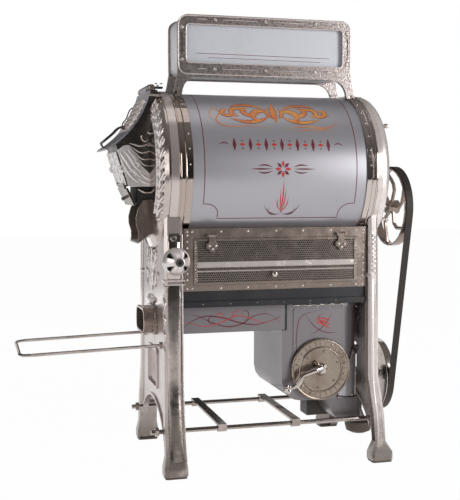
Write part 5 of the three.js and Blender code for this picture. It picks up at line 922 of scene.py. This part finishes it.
for label, sign, way in (("front", -1, front), ("back", 1, back)):
    tools = [lozenge((a + b) / 2, z, (b - a) / 2, False, sign) for a, b, z in runs]
    tools += [lozenge(x, (low + high) / 2, (high - low) / 2, True, sign) for x in (-post, post)]
    carved(bpy.data.objects[f"sign_frame_{label}_eased"], joined("grooves", tools))
    y, tip, (thin, thick) = sign * form["inlay"], form["inlayEnd"], form["inlayThick"]
    bars = [carried(at, (a + tip, y, z, thin), ((a + b) / 2, y, z, thick), (b - tip, y, z, thin)) for a, b, z in runs]
    settle(strands(f"sign_inlays_{label}", bars), "paleNickel")
    loops = []
    for (left, end, foot, head), radius, thick in form["beads"]:
        outline = roundedOutline([(left, foot), (end, foot), (end, head), (left, head)], radius, 6)
        loops.append([(at(x, sign * form["bead"], z), thick) for x, z in outline])
    settle(strands(f"sign_beads_{label}", loops, 2, 2, cyclic=True), "paleNickel")
    y = sign * form["heads"]
    screws = [(x, y, z) for z, places in form["rails"] for x in places]
    screws += [(x, y, z) for x in (-post, post) for z in postScrews]
    studs(f"sign_washers_{label}", way, screws, 8, 1.2, 12, "darkNickel")
    studs(f"sign_screws_{label}", way, screws, 5.6, 3.4, 14, "paleNickel", shape="screw")
    bolts = [(side * form["foot"][0], y, form["foot"][1]) for side in (-1, 1)]
    studs(f"sign_foot_bolts_{label}", way, bolts, 5.6, 5, 6, "nickel", shape="nut")
print("sign frames detailed")

# bolts round the right end casting and rivets along the bands, both above the skirt
boltForm = {"above": 830, "count": 14, "start": 12, "ring": 253, "plane": 374.5,
        "bands": (-311, 312), "bandRing": 268, "bandStep": 11, "bandStart": -40}
turns = [math.radians(k * 360 / boltForm["count"] + boltForm["start"]) for k in range(boltForm["count"])]
ring, axis = boltForm["ring"], drumForm["axis"]
bolts = [(boltForm["plane"], ring * math.cos(turn), axis + ring * math.sin(turn)) for turn in turns]
bolts = [bolt for bolt in bolts if bolt[2] > boltForm["above"]]
studs("bell_bolts_right", right, bolts, 6.5, 6, 6, "brightNickel", shape="nut")
rivets = []
for x in boltForm["bands"]:
    for k in range(-4, 13):
        turn = math.radians(k * boltForm["bandStep"] + boltForm["bandStart"])
        out = (0, -math.cos(turn), math.sin(turn))
        spot = at(x, boltForm["bandRing"] * out[1], axis + boltForm["bandRing"] * out[2])
        if spot.z > boltForm["above"] * mm:
            rivets.append((spot, out))
settle(heads("band_rivets", rivets, 3, 2), "brightNickel")
print("bolts and rivets set")


# a raised stroke of a casting: flat path, surface, greatest thickness; thin at the root and the tip
def vine(path, lift, thick, rise=0):
    line = []
    for k, (u, v) in enumerate(path):
        share = k / (len(path) - 1)
        swell = min(1, 0.35 + 2.2 * share) * (1 - share ** 2.5 * 0.8)
        line.append((lift(u, v, rise), thick * swell))
    return line


# every second point of a path, and its last
def thinned(path):
    return path[::2] + ([] if len(path) % 2 else [path[-1]])


# left end casting: leaves and scrolls all round its sloping rim
bellSlope = {
    "base": -372.3, "depth": 42, "radius": 268, "arc": 245, "pitch": 37, "rim": (206, 0.5, 3.25),
    # share of the radius, share of the depth there
    "shares": ((1, 0.15), (0.97, 0.48), (0.86, 0.75), (0.5, 0.95), (0, 1)),
    # the four short leaves of a group: points, thickness
    "leaves": [([(-6, 232), (6, 246), (24, 258)], 6.25), ([(10, 226), (24, 232), (40, 250)], 5.25),
        ([(4, 218), (20, 214), (34, 220)], 4.5), ([(-4, 250), (3, 257), (12, 262)], 4.25)],
}


def onBell(arc, radius, rise):
    share = min(radius / bellSlope["radius"], 1)
    deep = 1
    for (s0, d0), (s1, d1) in zip(bellSlope["shares"], bellSlope["shares"][1:]):
        if s1 <= share <= s0:
            deep = d0 + (d1 - d0) * (s0 - share) / (s0 - s1)
    turn = arc / bellSlope["arc"]
    return at(bellSlope["base"] - bellSlope["depth"] * deep - rise, -radius * math.cos(turn),
            drumForm["axis"] + radius * math.sin(turn))


def bellAndBack(arc, radius, rise):
    spot = onBell(arc, radius, rise)
    spot.y = 2 * shelf["shiftY"] * mm - spot.y
    return spot


lines = []
for k in range(15):
    u = -176 + k * bellSlope["pitch"]
    group = [(thinned(scroll((u, 228), 38, 74, -265, 1.6, 20)), 6.5)]
    group += [(curveThrough([(u + a, b) for a, b in points], 3), thick) for points, thick in bellSlope["leaves"]]
    for path, thick in group:
        lines += [vine(path, lift, thick) for lift in ((onBell, bellAndBack) if k < 12 else (onBell,))]
radius, rise, thick = bellSlope["rim"]
for lift, end in ((onBell, 541), (bellAndBack, 300)):
    lines.append([(lift(u, radius, rise), thick) for u in range(-180, end, 12)])
# the relief takes the paler nickel: a painted highlight on its raised strokes
settle(strands("bell_leaf_relief", lines), "litNickel")
print("left end casting ornamented")


# a rounded moulding down the front of a leg
def moulding(name, stations, bulge, sides=8):
    last = len(stations) - 1
    piece = newForm(bpy.ops.mesh.primitive_grid_add, name, x_subdivisions=last, y_subdivisions=sides, size=1)
    order = sorted(piece.data.vertices, key=lambda v: (round(v.co.x, 6), v.co.y))
    for i, (x, y, z, half) in enumerate(stations):
        share = min(1, 3 * i / last, 3 * (last - i) / last)
        for k in range(sides + 1):
            turn = math.pi * k / sides
            order[i * (sides + 1) + k].co = at(x - half * math.cos(turn),
                    y + 1 - (bulge * share + 1) * math.sin(turn), z)
    return smooth(piece, 80)


legForm = {
    # (Y, Z) down the front: above the collar and below it
    "fronts": ([(-225.8, 790), (-226.6, 760), (-227.3, 720), (-228.1, 680), (-229, 645)],
        [(-229.4, 626), (-230.2, 560), (-231.7, 480), (-233.1, 400), (-234.6, 320), (-238, 280),
        (-243.9, 240), (-250.4, 200), (-256.9, 160), (-264.4, 120), (-272.1, 80), (-277.5, 55)]),
    # middle in X, knee, half width, bulge, finish; the right moulding takes the paler nickel, painted light
    "left": (-357, 0, 23, 9, "nickel"), "right": (336, 9, 8, 6, "litNickel"),
    # height and reach of the knee; share of widening towards the foot, where it starts, over what height
    "knee": (130, 90), "flare": (0.1, 110, 60),
    # bead beside the moulding: gap, depth, radius; two bars on the collar: left and right, (foot, height)
    "bead": (4.5, 0.5, 2.2), "collar": ((-391, -238.5), (-322, -227)), "collarBars": ((637, 5), (625, 4)),
}
kneeHeight, kneeReach = legForm["knee"]
flare, flareStart, flareRun = legForm["flare"]
gap, depth, beadRadius = legForm["bead"]
for label in ("left", "right"):
    middle, knee, half, bulge, finish = legForm[label]
    for index, run in enumerate(legForm["fronts"]):
        stations = [(middle + knee * math.exp(-((z - kneeHeight) / kneeReach) ** 2), y, z,
                half * (1 + flare * max(0, (flareStart - z) / flareRun))) for y, z in run]
        settle(moulding(f"leg_moulding_{label}_{index + 1}", stations, bulge), finish)
        if label == "left":
            edge = [(at(x + wide + gap, y - depth, z), beadRadius) for x, y, z, wide in stations]
            # the bead takes the paler nickel: a painted highlight, a thin light line beside the moulding
            settle(strands(f"leg_bead_left_{index + 1}", [edge]), "litNickel")
nearEnd, farEnd = legForm["collar"]
collars = [softenEdges(slabBetween("collar_bar", (*nearEnd, z), (*farEnd, z + tall)), 1.4)
        for z, tall in legForm["collarBars"]]
settle(joined("leg_collar_bars_left", collars), "paleNickel")

# leaves on the outer side of the left leg frame, drawn in Y and Z for one side
webForm = {
    "plane": -384, "middle": 10,
    # start, heading off the upright, length, turn, thickness
    "leaves": (((6, 590), 40, 96, 230, 9.75), ((10, 612), 15, 104, -200, 9), ((30, 650), 35, 92, 240, 9),
        ((14, 660), 8, 88, -210, 8.1), ((44, 600), 70, 84, 200, 8.1), ((60, 690), 60, 66, 220, 6.9),
        ((6, 694), 20, 60, -190, 6.9), ((78, 640), 40, 60, -200, 6.6)),
    # a fan of seven at the foot: spread and height, how much the outer ones droop, thickness
    "fan": ((7, 538, 0), (16, 556, 0), (21, 574, 3)), "fanThick": 11.25,
    "stem": (582, 640, 700, 734), "stemThick": 10.5,
}


def onWeb(y, z, rise):
    return at(webForm["plane"] - rise, y, z)


lines, middle = [], webForm["middle"]
for side in (-1, 1):
    for (y, z), lean, length, turn, thick in webForm["leaves"]:
        path = scroll((middle + side * y, z), 90 - side * lean, length, side * turn, 1.6, 18)
        lines.append(vine(thinned(path), onWeb, thick))
for k in range(-3, 4):
    path = [(middle + k * out, z - abs(k) * droop) for out, z, droop in webForm["fan"]]
    lines.append(vine(path, onWeb, webForm["fanThick"]))
lines.append(vine([(middle, z) for z in webForm["stem"]], onWeb, webForm["stemThick"]))
# the leaves take the paler nickel: a painted highlight on the raised relief
settle(strands("leg_leaf_relief_left", lines), "litNickel")

# wavy edge down the left leg, and a twisted leaf down the upper front of the right one
edgeForm = {
    "wave": {"middle": (-387.5, -222), "swing": (1.5, 6), "pace": 0.9, "top": 628, "pitch": 7.5, "count": 30,
        "radius": 3.4},
    # top, foot and step; X, Y, way down and radius along one turn
    "rope": (782, 661, -15), "turn": ((329, -227.5, 0, 2), (338, -231.5, 5, 4.6), (349, -228, 13, 2.2)),
}
form = edgeForm["wave"]
(x, y), (sway, swing), pace = form["middle"], form["swing"], form["pace"]
wave = [(at(x - sway * math.cos(k * pace), y - swing * math.sin(k * pace), form["top"] - k * form["pitch"]),
        form["radius"]) for k in range(form["count"])]
settle(strands("leg_wave_edge_left", [wave]), "brightNickel")
rope = [carried(at, *[(x, y, z - down, radius) for x, y, down, radius in edgeForm["turn"]])
        for z in range(*edgeForm["rope"])]
settle(strands("leg_rope_right", rope), "paleNickel")
print("legs ornamented")

# hopper: drawn in X and Z on its near side, and the same on the far side
hopperForm = {
    "plane": 110, "boss": (-503, 1003),
    "ribs": [[(-480, 1086), (-440, 1077), (-402, 1091)], [(-476, 1076), (-440, 1055), (-401, 1064)],
        [(-470, 1066), (-436, 1034), (-401, 1038)], [(-462, 1058), (-434, 1017), (-401, 1012)]],
    "curl": [(-420, 1078), (-399, 1092), (-403, 1113), (-421, 1122), (-436, 1116), (-440, 1104), (-433, 1094),
        (-424, 1093), (-418, 1101)],
    "wedge": [(-521, 1062), (-500, 1078), (-480, 1080), (-462, 1052), (-440, 1012), (-414, 988), (-368, 968),
        (-366, 944), (-484, 944)],
    # points, thickness
    "leaves": [([(-512, 1056), (-494, 1030), (-474, 1000), (-440, 972)], 6.5),
        ([(-500, 1062), (-480, 1040), (-462, 1010), (-432, 984)], 6),
        ([(-508, 1030), (-494, 1004), (-474, 976), (-450, 956)], 5.5),
        ([(-486, 1066), (-468, 1044), (-456, 1022)], 4.5),
        ([(-474, 1016), (-462, 1024), (-450, 1016), (-456, 1004)], 4.5),
        ([(-484, 990), (-470, 998), (-458, 988), (-466, 976)], 4.5),
        ([(-446, 990), (-424, 972), (-396, 962), (-370, 958)], 5),
        ([(-452, 970), (-426, 956), (-396, 950)], 4.5)],
}
h = hopperForm
for label, sign in (("near", -1), ("far", 1)):
    plane = sign * h["plane"]
    onSide = onFace(plane, sign)
    lines = [vine(curveThrough(path, 3), onSide, 3.4) for path in h["ribs"]]
    lines += [[(onSide(u, v, 0.8), 3.4 - k * 0.06) for k, (u, v) in enumerate(curveThrough(h["curl"], 3))]]
    lines += [[(onSide(x, z, 0), 4) for x, z in ((-417, 1246), (-390, 1244), (-364, 1242))]]
    settle(strands(f"hopper_ribs_{label}", lines, 2, 4), "brightNickel")
    plate = softenEdges(pushed("hopper_wedge", h["wedge"], plane, plane + sign * 2.4), 1)
    lines = [vine(curveThrough(path, 3), onSide, thick, 2.4) for path, thick in h["leaves"]]
    leaves = strands("hopper_leaves", lines)
    profile = ((0, 0), (0, 13), (2.6, 12.5), (5, 9), (5, 5), (1, 5), (1, 0))
    boss = turned("hopper_boss", "y", [(plane + sign * rise, radius) for rise, radius in profile], h["boss"], 24)
    # the leaf plate takes the paler nickel: painted light on a plate that lies in shade
    settle(joined(f"hopper_leaf_wedge_{label}", [plate, leaves, smooth(boss, 40)]), "litLeafNickel")


# leaves on the hopper's sloping front, drawn by the way down it and Y
def onSlope(down, y, rise):
    return at(-524.7 + 0.304 * down - 0.953 * rise, y, 1060 - 0.953 * down - 0.304 * rise)


# the (x, z) of a place, as pushed takes it
def flat(spot):
    return spot.x / mm - shelf["shiftX"], spot.z / mm


lines = []
for side in (-1, 1):
    for down in range(14, 93, 26):
        for rows, thick in ((((-8, 6), (10, 30), (4, 62), (-12, 84)), 6.5), (((4, 50), (16, 74), (12, 98)), 5)):
            lines.append(vine(curveThrough([(down + a, side * y) for a, y in rows], 3), onSlope, thick))
lines.append([(onSlope(4 + k * 13, 0, 0), 6.5 - 0.4 * k) for k in range(9)])
outline = [flat(onSlope(down, 0, rise)) for down, rise in ((2, 0), (116, 0), (116, 2), (2, 2))]
skin = pushed("hopper_front", outline, -108, 108)
slopeLeaves = strands("hopper_front_leaves", lines)
# the sloping front takes the paler nickel: painted light on a face that lies in shade
settle(joined("hopper_front_leaves", [softenEdges(skin, 0.7, 1), slopeLeaves]), "litLeafNickel")

# chute between the hopper's foot and the spout
outletForm = {
    "chute": ((-449, -71, 887), (-372, 71, 943)), "edge": 1.2,
    # place and radius along the arm beside it
    "arm": ((-446, -76, 936, 4.5), (-432, -78, 928, 5.5), (-418, -78, 924, 4.5), (-396, -78, 930, 4)),
}
settle(softenEdges(slabBetween("outlet_chute", *outletForm["chute"]), outletForm["edge"]), "castIron")
settle(strands("gate_arm", [carried(at, *outletForm["arm"])], 3, 4), "nickel")
print("hopper ornamented")

# hopper lid: relief on its plate, wire handle, thin rod and hinge; drawn by the share down the lid and Y
lidForm = {"top": (-409, 1258), "pull": (-440, 1130), "foot": (-556, 1062), "thick": 9, "ends": (0.11, 0.6),
        "halfWidth": 104, "pin": (-404, 1271),
        # five rows of leaves down the plate: start and step, then share on, Y, rise and radius
        "rows": (0.15, 0.085), "leaves": (
            ((0, 4, 0, 3.4), (0.05, 26, 2, 6), (0.03, 52, 1.5, 5), (-0.04, 70, 0, 2.2)),
            ((0.02, 46, 0, 2.6), (0.06, 66, 1.5, 5), (0.04, 86, 1, 4), (-0.01, 98, 0, 2)),
            ((0.03, 104.5, -7, 2), (0.01, 105, -4.5, 3.2), (-0.01, 104.5, 0, 2.2)))}


def onLid(share, y, rise):
    a, b, c = (Vector(lidForm[key]) for key in ("top", "pull", "foot"))
    spot = a * (1 - share) ** 2 + b * 2 * share * (1 - share) + c * share ** 2
    along = ((b - a) * (1 - share) + (c - b) * share).normalized()
    spot = spot + Vector((along.y, -along.x)) * rise
    return at(spot.x, y, spot.y)


thick, (first, last) = lidForm["thick"], lidForm["ends"]
step = (last - first) / 10
outline = [flat(onLid(first + k * step, 0, 0.4)) for k in range(11)]
outline += [flat(onLid(last - k * step, 0, thick)) for k in range(11)]
plate = softenEdges(pushed("lid_plate_fine", outline, -lidForm["halfWidth"], lidForm["halfWidth"]), 1.6)
lines = []
for side in (-1, 1):
    for k in range(5):
        share = lidForm["rows"][0] + k * lidForm["rows"][1]
        lines += [[(onLid(share + on, side * y, thick + rise), radius) for on, y, rise, radius in leaf]
                for leaf in lidForm["leaves"]]
lines.append([(onLid(0.14 + k * 0.05, 0, thick + 1), 5.6 - 0.3 * k) for k in range(9)])
plate = joined("lid_plate_fine", [plate, strands("lid_plate_relief", lines)])
settle(plate, "paleNickel", "lid", "lid_plate")
wires = [carried(onLid, (0.56, y, 4, 3.4), (0.57, y, 20, 3.4), (0.61, y, 26, 3.4), (0.74, y, 27, 3.4),
        (0.88, y, 26, 3.4), (0.93, y * 0.85, 25, 3.4), (0.955, y * 0.4, 24, 3.4), (0.96, 0, 24, 3.4))
        for y in (-20, 20)]
wires += [carried(onLid, (0.56, y, 3, 6.5), (0.56, y, 8, 5.5)) for y in (-20, 20)]
wires.append(carried(onLid, (0.96, 0, 24, 4), (0.962, 0, 12, 3.4), (0.963, 0, 3, 5)))
settle(strands("lid_handle_fine", wires, 3, 5), "darkNickel", "lid", "lid_handle")
rod = [(onLid(share, 60, rise), 2.2) for share, rise in ((0.2, 12), (0.22, 19), (0.4, 19), (0.5, 19), (0.52, 12))]
settle(strands("lid_rod", [rod], 2, 5), "darkNickel", "lid")
profile = ((-7, 0), (-7, 8), (-5, 10), (5, 10), (7, 8), (7, 0))
knuckles = []
for k in range(7):
    spots = [(-104 + k * 34.5 + along, radius) for along, radius in profile]
    knuckles.append(turned("knuckle", "y", spots, lidForm["pin"], 20))
settle(smooth(joined("lid_hinge_knuckles", knuckles), 40), "tanNickel")
screws = [(x, y, 1282.6) for x in (-388, -370) for y in (-96, -32, 32, 96)]
studs("hopper_top_screws", up, screws, 5, 4, 10, "tanNickel")
print("lid furnished")

# burner's air shutter: a bell with four wedge windows and a dark ring in the middle; near-black discs behind the
# windows and in the ring's hole paint the shade inside
shutterForm = {
    "centre": (-351, 702), "windows": (38, 142, 218, 322),
    # Y, radius
    "bell": [(-231, 0), (-231, 44), (-233, 46), (-238, 45.6), (-247, 43), (-258, 37), (-268, 29), (-276, 21),
        (-280, 17), (-289.5, 16), (-290, 14.5), (-290, 7), (-284, 6.2), (-284, 0)],
    # radius, degrees off the middle of the window
    "window": ((20, -6), (38.5, -15), (40.5, 0), (38.5, 15), (20, 6)),
    # near-black discs at the foot of the windows and in the eye's hole: painted shade
    "rings": {"shutter_inner_disc": ([(-237, 0), (-237, 40), (-241, 40), (-241, 0)], 32, "darkSheet"),
        "shutter_eye": ([(-291.9, 6), (-291.9, 13), (-285, 14.4), (-285, 6)], 32, "darkNickel"),
        "shutter_pupil": ([(-286, 0), (-286, 6.4), (-287, 6.4), (-287, 0)], 24, "darkSheet")},
}


# a place in X and Z at a radius and an angle in degrees round a centre
def around(centre, radius, degrees):
    turn = math.radians(degrees)
    return centre[0] + radius * math.cos(turn), centre[1] + radius * math.sin(turn)


centre = shutterForm["centre"]
shutter = turned("air_shutter_fine", "y", shutterForm["bell"], centre, 56)
windows = [[around(centre, radius, way + off) for radius, off in shutterForm["window"]]
        for way in shutterForm["windows"]]
carved(shutter, joined("windows", [pushed("window", outline, -300, -240) for outline in windows]))
# the shutter takes the paler nickel: painted light
settle(smooth(shutter, 30), "litNickel", "shutter", "air_shutter")
for name, (profile, steps, finish) in shutterForm["rings"].items():
    settle(turned(name, "y", profile, centre, steps), finish, "shutter")

# damper cover: rings, a plain raised pattern between them and small screws
coverForm = {
    "centre": (170, 313), "plane": -178.9, "beads": 28, "screws": (20, 80, 140, 200, 260, 320),
    # Y, radius
    "face": [(-165.4, 0), (-165.4, 107.4), (-174, 107.8), (-179, 107.2), (-180.8, 105.4), (-181.2, 102.5),
        (-180.4, 100.5), (-178.8, 99.2), (-178.6, 80.5), (-179.6, 79), (-181.6, 77.6), (-181.9, 75.6),
        (-181, 74.2), (-178.4, 73.4), (-178.2, 22), (-181.5, 20), (-184.5, 18.5), (-186.2, 16.5), (-186.3, 0)],
}
centre, y = coverForm["centre"], coverForm["plane"]
cover = smooth(turned("damper_cover_fine", "y", coverForm["face"], centre, 88), 25)
beads = []
for k in range(coverForm["beads"]):
    turn = math.radians(k * 360 / coverForm["beads"])
    c, n = math.cos(turn), math.sin(turn)
    if k % 2:
        rows = ((83.5, 1.6), (89, 3.6), (96, 1.6))
        beads.append([(at(centre[0] + r * c, y, centre[1] + r * n), thick) for r, thick in rows])
    else:
        beads += [[(at(centre[0] + r * c - off * n, y, centre[1] + r * n + off * c), 2.4) for off in (1.5, -1.5)]
                for r in (86, 93.5)]
cover = joined("damper_cover_fine", [cover, strands("cover_pattern", beads)])
settle(cover, "brassedNickel", stands="damper_cover")
screws = [(x, -178.2, z) for x, z in (around(centre, 64, turn) for turn in coverForm["screws"])]
studs("cover_screws", front, screws, 4.2, 2.6, 14, "brassedNickel", shape="screw")

# dark outlet box under the casing, and a round bolt beside the strap on the casing's corner
blowerForm = {
    "outlet": ((178, -14, 112), (262, 60, 230)), "edge": 3,
    # Y, radius
    "bolt": [(-140, 0), (-140, 13.5), (-154, 13.5), (-157, 11.5), (-158, 8), (-158, 0)], "boltCentre": (301, 366),
}
settle(softenEdges(slabBetween("casing_outlet", *blowerForm["outlet"]), blowerForm["edge"]), "castIron")
bolt = turned("strap_bolt", "y", blowerForm["bolt"], blowerForm["boltCentre"], 28)
settle(smooth(bolt, 40), "darkNickel")

# a lighter sheet lapped over the corner's lower part, its edge running down to the left
lapForm = {"low": 208, "high": 384, "left": (236, 66), "right": 354, "steps": 22, "rows": 14, "rise": 1.6,
        "thick": 1.4,
        # painted shadow, near-black: a line up the side: rise, radius and step; beads along the foot: rise, radius,
        # pitch, drop, count
        "sideShadowLine": (1.4, 1.8, 16), "foot": (2.4, 2.6, 14, 2, 8), "footHeight": 214}
lap = lapForm
sheet = newForm(bpy.ops.mesh.primitive_grid_add, "casing_lap_sheet", x_subdivisions=lap["steps"],
        y_subdivisions=lap["rows"], size=1)


def lapLeft(z):
    foot, run = lap["left"]
    return foot + run * ((z - lap["low"]) / (lap["high"] - lap["low"])) ** 1.3


for vertex in sheet.data.vertices:
    along, z = vertex.co.x + 0.5, lap["low"] + (lap["high"] - lap["low"]) * (vertex.co.y + 0.5)
    vertex.co = onCorner(lapLeft(z) + (lap["right"] - lapLeft(z)) * along, z, lap["rise"])
thicken(sheet, lap["thick"], -1)
settle(smooth(sheet, 50), "silverPaint")
# painted shadow: near-black strands along the lap sheet's side and foot
rise, radius, step = lap["sideShadowLine"]
edge = [[(onCorner(lapLeft(z) - 1, z, rise), radius) for z in range(lap["low"], lap["high"] + 1, step)]]
rise, radius, pitch, drop, count = lap["foot"]
edge.append([(onCorner(lapLeft(lap["low"]) + k * pitch, lap["footHeight"] - k * drop, rise), radius)
        for k in range(count)])
settle(strands("casing_lap_shadow_lines", edge), "darkSheet")

# grip, blade and hub of the damper lever, and the lug on its cover
leverForm = {
    # middle of the grip in X and Z, the ways of its three curls; share of that way, Y, radius
    "grip": (42, 257), "ways": ((-5, 1), (0.5, -5.5), (2.5, 4.5)),
    "curl": ((1, -207, 2), (1.6, -208, 8.6), (2.4, -209, 7), (2.9, -209, 1.5)),
    # place and radius
    "blade": ((163, -206, 323, 9.5), (140, -209, 318, 12), (114, -211, 310, 10), (92, -212, 301, 7),
        (78, -212, 284, 6.5), (64, -211, 268, 6), (50, -210, 260, 5.5)),
    "lug": ((146, -178, 340, 7), (150, -184, 337, 7.5), (160, -187, 328, 6.5), (166, -184, 320, 4)),
    "hub": (170, -202, 313), "nut": (9, 6, 6),
}
x, z = leverForm["grip"]
grip = [carried(at, *[(x + share * u, y, z + share * w, radius) for share, y, radius in leverForm["curl"]])
        for u, w in leverForm["ways"]]
blade = carried(at, *leverForm["blade"])
hubNut = heads("lever_hub_nut", [(at(*leverForm["hub"]), front)], *leverForm["nut"], "nut")
settle(joined("damper_grip", [strands("lever_grip", grip + [blade], 3, 4), hubNut]), "nickel", "damper")
settle(strands("cover_lug", [carried(at, *leverForm["lug"])], 3, 4), "brassedNickel")

# lumpy bright bead along the casing's top
beadForm = {"start": 70, "pitch": 11, "count": 18, "plane": -170, "height": 537.5,
        # way up and down and its pace; radius, swelling and its pace
        "wave": (1.4, 2.1), "swell": (2.8, 0.9, 1.7)}
form = beadForm
(swing, pace), (radius, swell, beat) = form["wave"], form["swell"]
bead = [(at(form["start"] + k * form["pitch"], form["plane"], form["height"] + swing * math.sin(k * pace)),
        radius + swell * math.sin(k * beat)) for k in range(form["count"])]
settle(strands("casing_top_bead", [bead]), "nickel")
print("shutter, damper cover and casing details made")

# floor, background and light
studio = {
    "fill": 0.21, "paper": (0.82, 0.81, 0.8), "paperGlow": 0.98, "floor": 30,
    # height as a share of the radius, brightness there
    "tent": {"radius": 5, "levels": [(0, 0.03), (0.4, 0.04), (0.6, 0.1), (0.8, 0.2), (1, 0.28)]},
    "lamps": [
        # place, aimed at, size, power
        ((2.5, -2.6, 1.4), (0.1, 0, 0.95), (1.4, 1.8), 86),
        ((-3.4, -0.7, 1.5), (-0.3, 0, 0.9), (1.8, 2.2), 26),
        ((-2.4, -2.6, 1.5), (-0.5, 0, 1), (1.2, 1.6), 12),
        ((-1.3, 3.2, 1), (-0.3, 0, 0.7), (1.6, 2), 6),
        ((0.2, -0.3, 3.6), (0.1, 0, 0.8), (2, 1.2), 6),
        ((1.6, 3, 1.8), (0.1, 0, 0.8), (1.6, 1.5), 7),
    ],
}


# what the camera and polished metal see of the background, apart from what lights the machine
def backgroundMix(tree, lit, seen, share, output):
    rays = tree.nodes.new("ShaderNodeLightPath").outputs
    direct = mathNode(tree, "ADD", rays["Is Camera Ray"], rays["Is Transmission Ray"], clamp=True)
    direct = mathNode(tree, "ADD", direct, rays["Is Glossy Ray"], clamp=True)
    mixer = tree.nodes.new("ShaderNodeMixShader")
    for socket, source in zip(mixer.inputs, (mathNode(tree, "MULTIPLY", direct, share), lit, seen)):
        tree.links.new(source, socket)
    tree.links.new(mixer.outputs[0], tree.nodes[output].inputs["Surface"])


def studioMaterial(obj, name):
    material = bpy.data.materials.new(name)
    material.use_nodes = True
    obj.data.materials.append(material)
    return material.node_tree, material.node_tree.nodes.new("ShaderNodeEmission")


floor = newForm(bpy.ops.mesh.primitive_plane_add, "studio_floor", size=studio["floor"])
tree, glow = studioMaterial(floor, "floorPaper")
paper = tree.nodes["Principled BSDF"]
paper.inputs["Base Color"].default_value = (*studio["paper"], 1)
paper.inputs["Roughness"].default_value = 0.9
glow.inputs["Color"].default_value = (1, 1, 1, 1)
backgroundMix(tree, paper.outputs[0], glow.outputs[0], studio["paperGlow"], "Material Output")

# a dark tent over the studio that only polished metal shows
tent = studio["tent"]
ball = bpy.ops.mesh.primitive_uv_sphere_add
drape = newForm(ball, "studio_tent", segments=48, ring_count=24, radius=tent["radius"])
openMesh()
bpy.ops.mesh.bisect(plane_co=(0, 0, 0.01), plane_no=(0, 0, 1), clear_inner=True)
bpy.ops.mesh.select_all(action="SELECT")
bpy.ops.mesh.flip_normals()
closeMesh()
drape.visible_camera = drape.visible_diffuse = drape.visible_shadow = drape.visible_transmission = False
tree, glow = studioMaterial(drape, "tentCloth")
ramp = tree.nodes.new("ShaderNodeValToRGB")
split = tree.nodes.new("ShaderNodeSeparateXYZ")
tree.links.new(tree.nodes.new("ShaderNodeNewGeometry").outputs["Position"], split.inputs[0])
tree.links.new(mathNode(tree, "DIVIDE", split.outputs["Z"], tent["radius"]), ramp.inputs["Fac"])
while len(ramp.color_ramp.elements) < len(tent["levels"]):
    ramp.color_ramp.elements.new(0.5)
for element, (height, value) in zip(ramp.color_ramp.elements, tent["levels"]):
    element.position = height
    element.color = (value, value * 0.96, value * 0.94, 1)
tree.links.new(ramp.outputs["Color"], glow.inputs["Color"])
tree.links.new(glow.outputs[0], tree.nodes["Material Output"].inputs["Surface"])

for index, (spot, target, (wide, tall), power) in enumerate(studio["lamps"]):
    bpy.ops.object.light_add(type="AREA", location=spot)
    lamp = bpy.context.object
    lamp.name = f"softbox_{index + 1}"
    lamp.data.shape, lamp.data.size, lamp.data.size_y, lamp.data.energy = "RECTANGLE", wide, tall, power
    lamp.rotation_euler = (Vector(target) - Vector(spot)).to_track_quat("-Z", "Y").to_euler()
    lamp.visible_camera = False

world = bpy.data.worlds.new("studio")
world.use_nodes = True
bpy.context.scene.world = world
tree = world.node_tree
fillLight, white = tree.nodes["Background"], tree.nodes.new("ShaderNodeBackground")
fillLight.inputs["Color"].default_value = (0.95, 0.96, 1, 1)
fillLight.inputs["Strength"].default_value = studio["fill"]
white.inputs["Color"].default_value = (1, 1, 1, 1)
backgroundMix(tree, fillLight.outputs[0], white.outputs[0], 1, "World Output")
print("studio lit")
